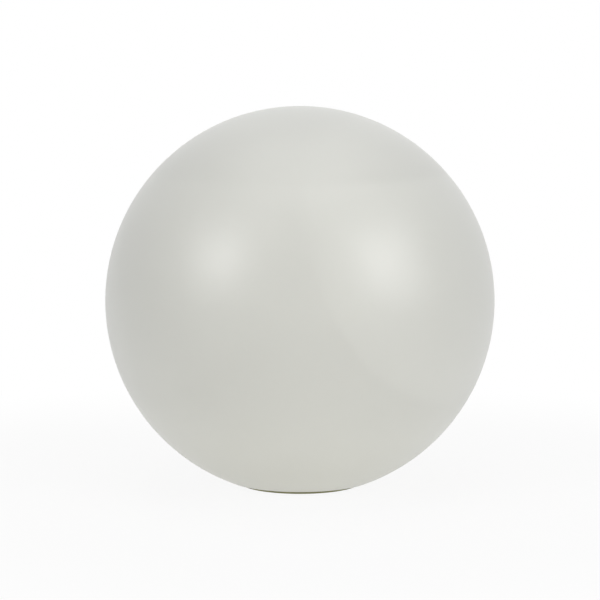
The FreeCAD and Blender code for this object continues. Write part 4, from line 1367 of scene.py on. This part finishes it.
def chip(name, node, legs, pitch, four_sided):
    """A chip with its rounded body, first-pin dimple and a row of legs on two or four sides."""
    low, high = reach(node)
    length, width, height = high - low
    side = length / 2 - 0.7
    half_width = width / 2 - (0.7 if four_sided else 0.0)
    body = block(name, (2 * side, 2 * half_width, height - 0.12), (0, 0, height / 2 + 0.06))
    bevel(body, 0.1)
    cut(body, rod("pin_mark", 0.3, height - 0.06, height + 1, (-side + 0.8, half_width - 0.8)))
    paint(body, slot_of(node))
    offsets = [(i - (legs - 1) / 2) * pitch for i in range(legs)]
    turns = (0, 90, 180, 270) if four_sided else (0, 180)
    row = repeat(chip_leg(side, height / 2), "legs", [spot(y=offset) for offset in offsets])
    rows = repeat(row, "legs", [spot(turn=turn) for turn in turns])
    seat(smooth(join(name, body, rows)), node)


def connector(name, node, turn):
    """A lead's plug in its header: latch window and tinned tabs."""
    low, high = reach(node)
    height = high.z - low.z
    header = bevel(block("header", (3.1, 9.0, height), (-1.45, 0, height / 2)), 0.25)
    plug = bevel(block("plug", (2.8, 8.2, height - 0.7), (1.6, 0, height / 2 - 0.1)), 0.3)
    cut(header, block("window", (1.2, 3.0, 2.0), (-1.4, 0, height)))
    latch = bevel(block("latch", (3.4, 1.8, 0.5), (0.4, 0, height - 0.45)), 0.15)
    shell = paint(join("shell", header, plug, latch), slot_of(node))
    tab = bevel(block("tab", (0.7, 0.9, 0.3), (-2.4, 4.0, 0.16)), 0.08)
    tabs = paint(repeat(tab, "tabs", [spot(), spot(y=-8.0)]), "tinned")
    seat(smooth(join(name, shell, tabs)), node, turn)


class GLOBE_LIGHT_OT_board(bpy.types.Operator):
    """Round the control board's edge and the charging socket, and put chips and connectors on"""

    bl_idname = "globe_light.board"
    bl_label = "Control board"

    def execute(self, context):
        soften("control_board", "circuit_board", 0.12)
        chip("controller", "control_chip", 8, 0.62, True)
        chip("charger", "charge_chip", 4, 1.1, False)
        connector("cell_plug", "battery_connector", 0)
        connector("lamp_plug", "lamp_connector", 90)
        self.socket()
        self.switch()
        self.status_lamp()
        return {"FINISHED"}

    def socket(self):
        """The charging socket's shell, with the gold strips on both sides of its tongue."""
        low = reach("charge_socket")[0]
        centre = middle("charge_socket")
        shell = paint(soft_edged("charge_socket", "socket", 0.06), "socket_metal")
        strip = bevel(block("strip", (0.08, 0.28, 3.6), (0.42, 0, low.z + 2.8)), 0.03, 1)
        row = repeat(strip, "strips", [spot(y=(i - 5.5) * 0.5) for i in range(12)])
        rows = repeat(row, "strips", [spot(turn=turn) for turn in (0, 180)])
        place(paint(rows, "gold_plate"), (centre.x, 0, 0))
        stand_for(smooth(join("charging_socket", shell, rows)), "charge_socket")

    def switch(self):
        """The push switch: moulded body, pressed plate round its plunger and four soldered legs."""
        low, high = reach("power_switch")
        centre = middle("power_switch")
        body = paint(soft_edged("power_switch", "switch", 0.2), "component_plastic")
        plate = bevel(block("plate", (6.4, 6.4, 0.3), (0, 0, low.z)), 0.1)
        cut(plate, rod("plunger_hole", 2.0, low.z - 1, low.z + 1, steps=32))
        rivet = bevel(rod("rivet", 0.45, low.z - 0.3, low.z + 0.1, (2.5, 2.5), 12), 0.12)
        rivets = repeat(rivet, "rivets", [spot(turn=90 * i) for i in range(4)])
        leg = bevel(block("leg", (0.9, 0.7, 0.3), (3.7, 2.2, high.z - 0.16)), 0.08)
        legs = paint(repeat(leg, "legs", facing_pairs(4.4)), "tinned")
        metalwork = paint(join("metalwork", plate, rivets), "socket_metal")
        fittings = place(join("fittings", metalwork, legs), (centre.x, centre.y, 0))
        stand_for(smooth(join("push_switch", body, fittings)), "power_switch")

    def status_lamp(self):
        """The charging light's lamp: clear dome on a white base with tinned ends."""
        low, high = reach("status_led")
        centre = middle("status_led")
        base = bevel(block("base", (1.1, 1.0, 0.3), (0, 0, high.z - 0.15)), 0.04)
        paint(base, "lamp_body")
        dome = bevel(block("dome", (0.95, 0.9, 0.34), (0, 0, low.z + 0.17)), 0.14, 3)
        paint(dome, "clear_plastic")
        end = bevel(block("end", (0.3, 1.0, 0.32), (0.65, 0, high.z - 0.16)), 0.04)
        ends = paint(repeat(end, "ends", [spot(), spot(turn=180)]), "tinned")
        made = place(join("status_lamp", base, dome, ends), (centre.x, centre.y, 0))
        stand_for(smooth(made), "status_led")


SMALL_PART_PLACES = {  # x, y and turn on the control board
    "resistor": (
        (-24.0, -5.0, 0), (-24.0, -3.2, 0), (-24.0, -1.4, 0), (-12.5, 6.5, 90), (-10.7, 6.5, 90),
        (10.5, -10.0, 0), (10.5, -12.0, 0), (13.0, 8.5, 90), (15.0, 8.5, 90), (4.5, -28.5, 0),
    ),
    "ceramic": (
        (-18.0, 8.0, 0), (-18.0, -4.0, 0), (-12.0, 2.0, 90), (21.0, -11.0, 90), (21.0, -14.5, 90),
        (-3.0, -17.0, 90), (-3.0, -21.0, 90), (12.0, -19.0, 90),
    ),
}


class GLOBE_LIGHT_OT_power_parts(bpy.types.Operator):
    """Wind the inductor, turn the capacitor's can, and lay out the small soldered parts"""

    bl_idname = "globe_light.power_parts"
    bl_label = "Power parts"

    def execute(self, context):
        self.inductor()
        self.capacitor()
        self.small_parts()
        return {"FINISHED"}

    def inductor(self):
        """A drum of ferrite on its base, with the copper winding between its flanges."""
        low, high = reach("power_inductor")
        size = high.x - low.x
        height = high.z - low.z
        base = bevel(block("base", (size, size, 0.7), (0, 0, 0.35)), 0.2)
        half = size / 2 - 0.1
        drum = [(0, 0.6), (half, 0.6), (half, 1.0), (1.6, 1.1), (1.6, height - 0.8), (half, height - 0.7)]
        drum += [(half, height - 0.15), (half - 0.15, height), (0, height)]
        core = paint(join("core", base, lathe("drum", drum, 8)), "ferrite")
        wire = 0.26
        rows = int((height - 2.0) / (2 * wire))
        outline = [(1.5, 1.15)]
        for i in range(rows):
            outline += arc((half - 0.75, 1.2 + wire * (2 * i + 1)), wire, -80, 80, 4)
        outline += [(1.5, 1.25 + 2 * wire * rows)]
        winding = paint(lathe("winding", outline, 40), "copper_wire")
        seat(smooth(join("wound_inductor", core, winding)), "power_inductor")

    def capacitor(self):
        """An aluminium can with its crimp and scored top, on its black foot."""
        low, high = reach("capacitor")
        radius = (high.x - low.x) / 2
        top = high.z - low.z
        outline = [(0, 0.5), (radius - 0.1, 0.5), (radius, 0.6), (radius, 1.3), (radius - 0.35, 1.6)]
        outline += [(radius, 1.9), (radius, top - 0.5)]
        outline += arc((radius - 0.5, top - 0.5), 0.5, 15, 90, 4) + [(0, top)]
        can = lathe("can", outline, 48)
        for turn in (0, 120, 240):
            score = block("score", (radius - 0.9, 0.16, 0.24), (radius / 2 - 0.2, 0, top))
            cut(can, place(score, turn=(0, 0, turn + 30)))
        paint(can, "capacitor_can")
        half = radius - 0.05
        corner = 1.0
        sides = [(-half, -half), (half - corner, -half), (half, corner - half)]
        sides += [(half, half - corner), (half - corner, half), (-half, half)]
        foot = paint(bevel(slab("foot", sides, 0.0, 0.7), 0.12), "component_plastic")
        seat(smooth(join("aluminium_capacitor", can, foot)), "capacitor")

    def small_parts(self):
        """Small resistors and ceramic capacitors beside the chips they serve."""
        top = reach("control_board")[1].z
        bodies = []
        for name, colour in (("resistor", "component_plastic"), ("ceramic", "connector_plastic")):
            body = paint(bevel(block(name, (1.0, 0.76, 0.44), (0, 0, 0.24)), 0.05), colour)
            cap = bevel(block("cap", (0.34, 0.8, 0.5), (0.63, 0, 0.25)), 0.06)
            caps = paint(repeat(cap, "caps", [spot(), spot(turn=180)]), "tinned")
            bodies.append(smooth(join(name, body, caps)))
        made = []
        for body in bodies:
            spots = [spot(x, y, top, turn) for x, y, turn in SMALL_PART_PLACES[body.name]]
            made.append(repeat(body, body.name + "s", spots))
        ride(join("small_board_parts", *made), "component_plastic", "base")


# The lamps and their cap


LAMP_CIRCLES = ((11.0, 8), (27.0, 16))  # radius and number of lamps
JOINT_PLACE = (1.3, 32.3)  # of one solder joint; the other mirrors it


def lamp_package():
    """One lamp: white body with a dish of phosphor, a cut corner and tinned tabs."""
    body = bevel(block("lamp", (4.5, 5.0, 1.5), (0, 0, 0.8)), 0.12)
    dish = lathe("dish", [(0, 0.9), (1.7, 0.9), (2.05, 1.7), (0, 1.7)], 24)
    cut(body, dish, place(block("corner", (0.9, 0.9, 0.8), (0, 0, 1.5)), (2.5, 2.7, 0), (0, 0, 45)))
    paint(body, "lamp_body")
    gel = [(0, 0.85), (1.65, 0.85), (1.88, 1.3), (1.2, 1.36), (0, 1.4)]
    gel = paint(lathe("gel", gel, 24), "lamp_phosphor")
    tab = bevel(block("tab", (0.5, 1.1, 0.25), (2.25, 1.25, 0.13)), 0.05, 1)
    tabs = paint(repeat(tab, "tabs", facing_pairs(2.5)), "tinned")
    return smooth(join("lamp", body, gel, tabs))


class GLOBE_LIGHT_OT_lamps(bpy.types.Operator):
    """Mould a lamp once and set out both circles on their coated board"""

    bl_idname = "globe_light.lamps"
    bl_label = "Lamps"

    def execute(self, context):
        soften("heat_spreader", "heat_disc", 0.15)
        soften("lamp_board", "white_board", 0.12)
        base = reach("lamps")[0].z
        circles = [round_spots(radius, count, 0.0, base) for radius, count in LAMP_CIRCLES]
        spots = [spot(*at) for circle in circles for at, _ in circle]
        stand_for(repeat(lamp_package(), "lamp_packages", spots), "lamps")
        pad = [(0, 0), (1.1, 0), (1.0, 0.25), (0.6, 0.5), (0.25, 0.62), (0, 0.65)]
        joint = smooth(lathe("joint", pad, 24))
        x, y = JOINT_PLACE
        spots = [spot(side * x, y, base) for side in (-1, 1)]
        ride(paint(repeat(joint, "lead_joints", spots), "tinned"), "contact_nickel", "base")
        return {"FINISHED"}


CAP_WALL = 2.0
CAP_RADIUS = 42.0
CAP_SHOULDER = 68.0  # height at which its skirt ends
CAP_TOP_RADIUS = 30.0
CAP_ROUNDING = 4.0  # outside, and less by the wall inside
ROUNDING_SHIFT = 1.6  # from the corner that is rounded to the rounding's centre, along top or skirt
RIM_EDGE = 0.4


class GLOBE_LIGHT_OT_cap(bpy.types.Operator):
    """Turn the opal cap over the lamps, with rounded shoulders, and the gasket that holds it"""

    bl_idname = "globe_light.cap"
    bl_label = "Opal cap"

    def execute(self, context):
        low, high = reach("light_cap")
        wall = CAP_WALL
        skirt = CAP_RADIUS
        rim = high.x
        flange = low.z + wall
        inner = CAP_ROUNDING - wall
        crown = (CAP_TOP_RADIUS - ROUNDING_SHIFT, high.z - CAP_ROUNDING)
        shoulder = (skirt - CAP_ROUNDING, CAP_SHOULDER - ROUNDING_SHIFT)
        outline = [(0, high.z - wall)] + arc(crown, inner, 90, 45, 4) + arc(shoulder, inner, 45, 0, 4)
        outline += [(skirt - wall, low.z), (rim - RIM_EDGE, low.z), (rim, low.z + RIM_EDGE)]
        outline += [(rim, flange - RIM_EDGE), (rim - RIM_EDGE, flange), (skirt + 0.8, flange)]
        outline += [(skirt + 0.2, flange + 0.3), (skirt, flange + 1.0)]
        outline += arc(shoulder, CAP_ROUNDING, 0, 45, 6) + arc(crown, CAP_ROUNDING, 45, 90, 6)
        outline += [(0, high.z)]
        stand_for(smooth(lathe("opal_cap", outline, 128)), "light_cap")
        soften("cap_seal", "gasket_under_cap", 0.12)
        return {"FINISHED"}


# The stage

FRAME_PIXELS = 600
SENSOR = 36.0
FOCAL_PIXELS = 1584.7  # the photograph's focal length, in its own pixels
CENTRE_SHIFT = (0.06, 0.6)  # from the frame's middle to the ball's, in pixels left and down
FLOOR_SIZE = 12.0
WHITE_NEAR = 0.90  # how far the floor is plain white to the camera, near the light and away from it
WHITE_FAR = 1.0
AMBIENT = 0.015  # the world's strength, save to the camera, in mirrors and through clear things


def seen_rays(made):
    """1 for rays that show the white surroundings: to the camera, in gloss and through clear pieces."""
    kinds = ("Camera", "Glossy", "Transmission")
    camera, glossy, clear = (made.node("ShaderNodeLightPath", {}, {}, f"Is {kind} Ray") for kind in kinds)
    return camera.larger(glossy).larger(clear)


def floor_paper():
    """Pale paper that the camera sees as white, but for a share near the light that keeps its shadow."""
    made = Finish("floor_paper", Roughness=0.9, Specular_IOR_Level=0.1)
    fibres = made.noise(8, 3)
    made.feed("Base Color", made.mix(fibres, (0.89, 0.89, 0.89), (0.91, 0.91, 0.91)))
    far = made.radius().above(0.55, 0.5)
    share = WHITE_NEAR + far * (WHITE_FAR - WHITE_NEAR)
    glow = made.node("ShaderNodeEmission", {}, {"Color": (1, 1, 1, 1), "Strength": 1.0})
    blend = made.node("ShaderNodeMixShader", {}, {0: seen_rays(made) * share, 2: glow})
    made.tree.links.new(made.shader.outputs[0], blend.socket.node.inputs[1])
    made.tree.links.new(blend.socket, made.tree.nodes["Material Output"].inputs["Surface"])
    return made


def studio_world():
    """White to the camera and in reflections, and almost dark otherwise: the soft boxes do the lighting."""
    world = bpy.data.worlds.new("studio")
    world.use_nodes = True
    made = NodeTree(world.node_tree)
    background = made.tree.nodes["Background"]
    background.inputs["Color"].default_value = (1, 1, 1, 1)
    level = AMBIENT + seen_rays(made) * (1 - AMBIENT)
    made.tree.links.new(level.socket, background.inputs["Strength"])
    bpy.context.scene.world = world


SoftBox = namedtuple("SoftBox", "name turn rise distance width height watts mirrored warmth")
NEUTRAL = (1.0, 1.0, 1.0)
WARM = (1.0, 0.97, 0.84)
SOFT_BOXES = (
    SoftBox("left_soft_box", -49.0, 24.0, 1.9, 1.3, 1.3, 5.0, True, NEUTRAL),
    SoftBox("left_fill", -49.0, 24.0, 1.9, 1.3, 1.3, 6.0, False, NEUTRAL),
    SoftBox("left_spot_box", -46.0, 24.0, 1.7, 0.45, 0.45, 1.9, True, NEUTRAL),
    SoftBox("right_soft_box", 53.0, 21.0, 1.9, 1.3, 1.3, 7.3, True, NEUTRAL),
    SoftBox("right_fill", 53.0, 21.0, 1.9, 1.3, 1.3, 8.0, False, NEUTRAL),
    SoftBox("right_spot_box", 47.0, 23.0, 1.7, 0.45, 0.6, 1.45, True, NEUTRAL),
    SoftBox("front_fill", 0.0, 15.0, 1.9, 1.3, 1.0, 1.9, False, NEUTRAL),
    SoftBox("top_soft_box", 0.0, 85.0, 1.9, 1.8, 1.8, 20.2, False, NEUTRAL),
    SoftBox("low_front_fill", 0.0, -3.0, 1.8, 1.6, 0.15, 4.4, False, WARM),
    SoftBox("back_fill", 180.0, 30.0, 2.0, 1.6, 1.2, 9.8, False, NEUTRAL),
)
TableLight = namedtuple("TableLight", "name diameter watts")
TABLE_LIGHTS = (TableLight("table_glow", 0.36, 0.060), TableLight("table_halo", 0.60, 0.14))
TABLE_LIGHT_HEIGHT = 0.002


def direction(turn, rise):
    """From the ball towards a place this far round it from the front, and this far up, in radians."""
    return Vector((math.sin(turn) * math.cos(rise), -math.cos(turn) * math.cos(rise), math.sin(rise)))


def add_area_light(name, place_at, away, watts, colour, mirrored):
    """A soft light that faces against a direction, unseen itself by the camera."""
    deselect()
    bpy.ops.object.light_add(type="AREA", location=place_at)
    light = bpy.context.object
    light.name = name
    light.rotation_euler = away.to_track_quat("Z", "Y").to_euler()
    light.data.energy = watts
    light.data.color = colour
    light.visible_camera = False
    light.visible_glossy = mirrored
    return light


def add_soft_box(box, centre):
    away = direction(math.radians(box.turn), math.radians(box.rise))
    light = add_area_light(box.name, centre + away * box.distance, away, box.watts, box.warmth, box.mirrored)
    light.data.shape = "RECTANGLE"
    light.data.size = box.width
    light.data.size_y = box.height


class GLOBE_LIGHT_OT_stage(bpy.types.Operator):
    """Set the pale floor, the soft light and the camera"""

    bl_idname = "globe_light.stage"
    bl_label = "Stage"

    def execute(self, context):
        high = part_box("globe_shell")[1]
        centre = Vector((0, 0, high.z - high.x))
        deselect()
        bpy.ops.mesh.primitive_plane_add(size=FLOOR_SIZE)
        floor = newest("floor")
        floor.data.materials.append(floor_paper().material)
        studio_world()
        for box in SOFT_BOXES:
            add_soft_box(box, centre)
        for glow in TABLE_LIGHTS:
            at = (0, 0, TABLE_LIGHT_HEIGHT)
            light = add_area_light(glow.name, at, Vector((0, 0, -1)), glow.watts, WARM, False)
            light.data.shape = "DISK"
            light.data.size = glow.diameter
        away = direction(0, sizes().camera_elevation)
        deselect()
        bpy.ops.object.camera_add(location=centre + away * sizes().camera_distance)
        camera = bpy.context.object
        camera.name = "camera"
        camera.rotation_euler = away.to_track_quat("Z", "Y").to_euler()
        camera.data.sensor_width = SENSOR
        camera.data.lens = FOCAL_PIXELS / FRAME_PIXELS * SENSOR
        camera.data.shift_x = CENTRE_SHIFT[0] / FRAME_PIXELS
        camera.data.shift_y = CENTRE_SHIFT[1] / FRAME_PIXELS
        context.scene.camera = camera
        context.scene.view_settings.view_transform = "Standard"
        return {"FINISHED"}


class GLOBE_LIGHT_PT_pieces(bpy.types.Panel):
    """The light's pieces and its stage"""

    bl_label = "Globe light"
    bl_idname = "GLOBE_LIGHT_PT_pieces"
    bl_space_type = "VIEW_3D"
    bl_region_type = "UI"
    bl_category = "Globe light"

    def draw(self, context):
        for operator in OPERATORS:
            self.layout.operator(operator.bl_idname)


OPERATORS = (
    GLOBE_LIGHT_OT_stage,
    GLOBE_LIGHT_OT_ball,
    GLOBE_LIGHT_OT_inserts,
    GLOBE_LIGHT_OT_neck,
    GLOBE_LIGHT_OT_foot,
    GLOBE_LIGHT_OT_underside,
    GLOBE_LIGHT_OT_button,
    GLOBE_LIGHT_OT_port,
    GLOBE_LIGHT_OT_screws,
    GLOBE_LIGHT_OT_cells,
    GLOBE_LIGHT_OT_holder,
    GLOBE_LIGHT_OT_strap,
    GLOBE_LIGHT_OT_leads,
    GLOBE_LIGHT_OT_board,
    GLOBE_LIGHT_OT_power_parts,
    GLOBE_LIGHT_OT_lamps,
    GLOBE_LIGHT_OT_cap,
)
CLASSES = (GlobeLightSizes, GlobeLightColours, *OPERATORS, GLOBE_LIGHT_PT_pieces)


def register():
    for entry in CLASSES:
        bpy.utils.register_class(entry)
    bpy.types.Scene.globe_light_sizes = PointerProperty(type=GlobeLightSizes)
    bpy.types.Scene.globe_light_colours = PointerProperty(type=GlobeLightColours)


def unregister():
    del bpy.types.Scene.globe_light_colours
    del bpy.types.Scene.globe_light_sizes
    for entry in reversed(CLASSES):
        bpy.utils.unregister_class(entry)


def main():
    register()
    for operator in OPERATORS:
        group, name = operator.bl_idname.split(".")
        getattr(getattr(bpy.ops, group), name)()


if __name__ == "__main__":
    main()
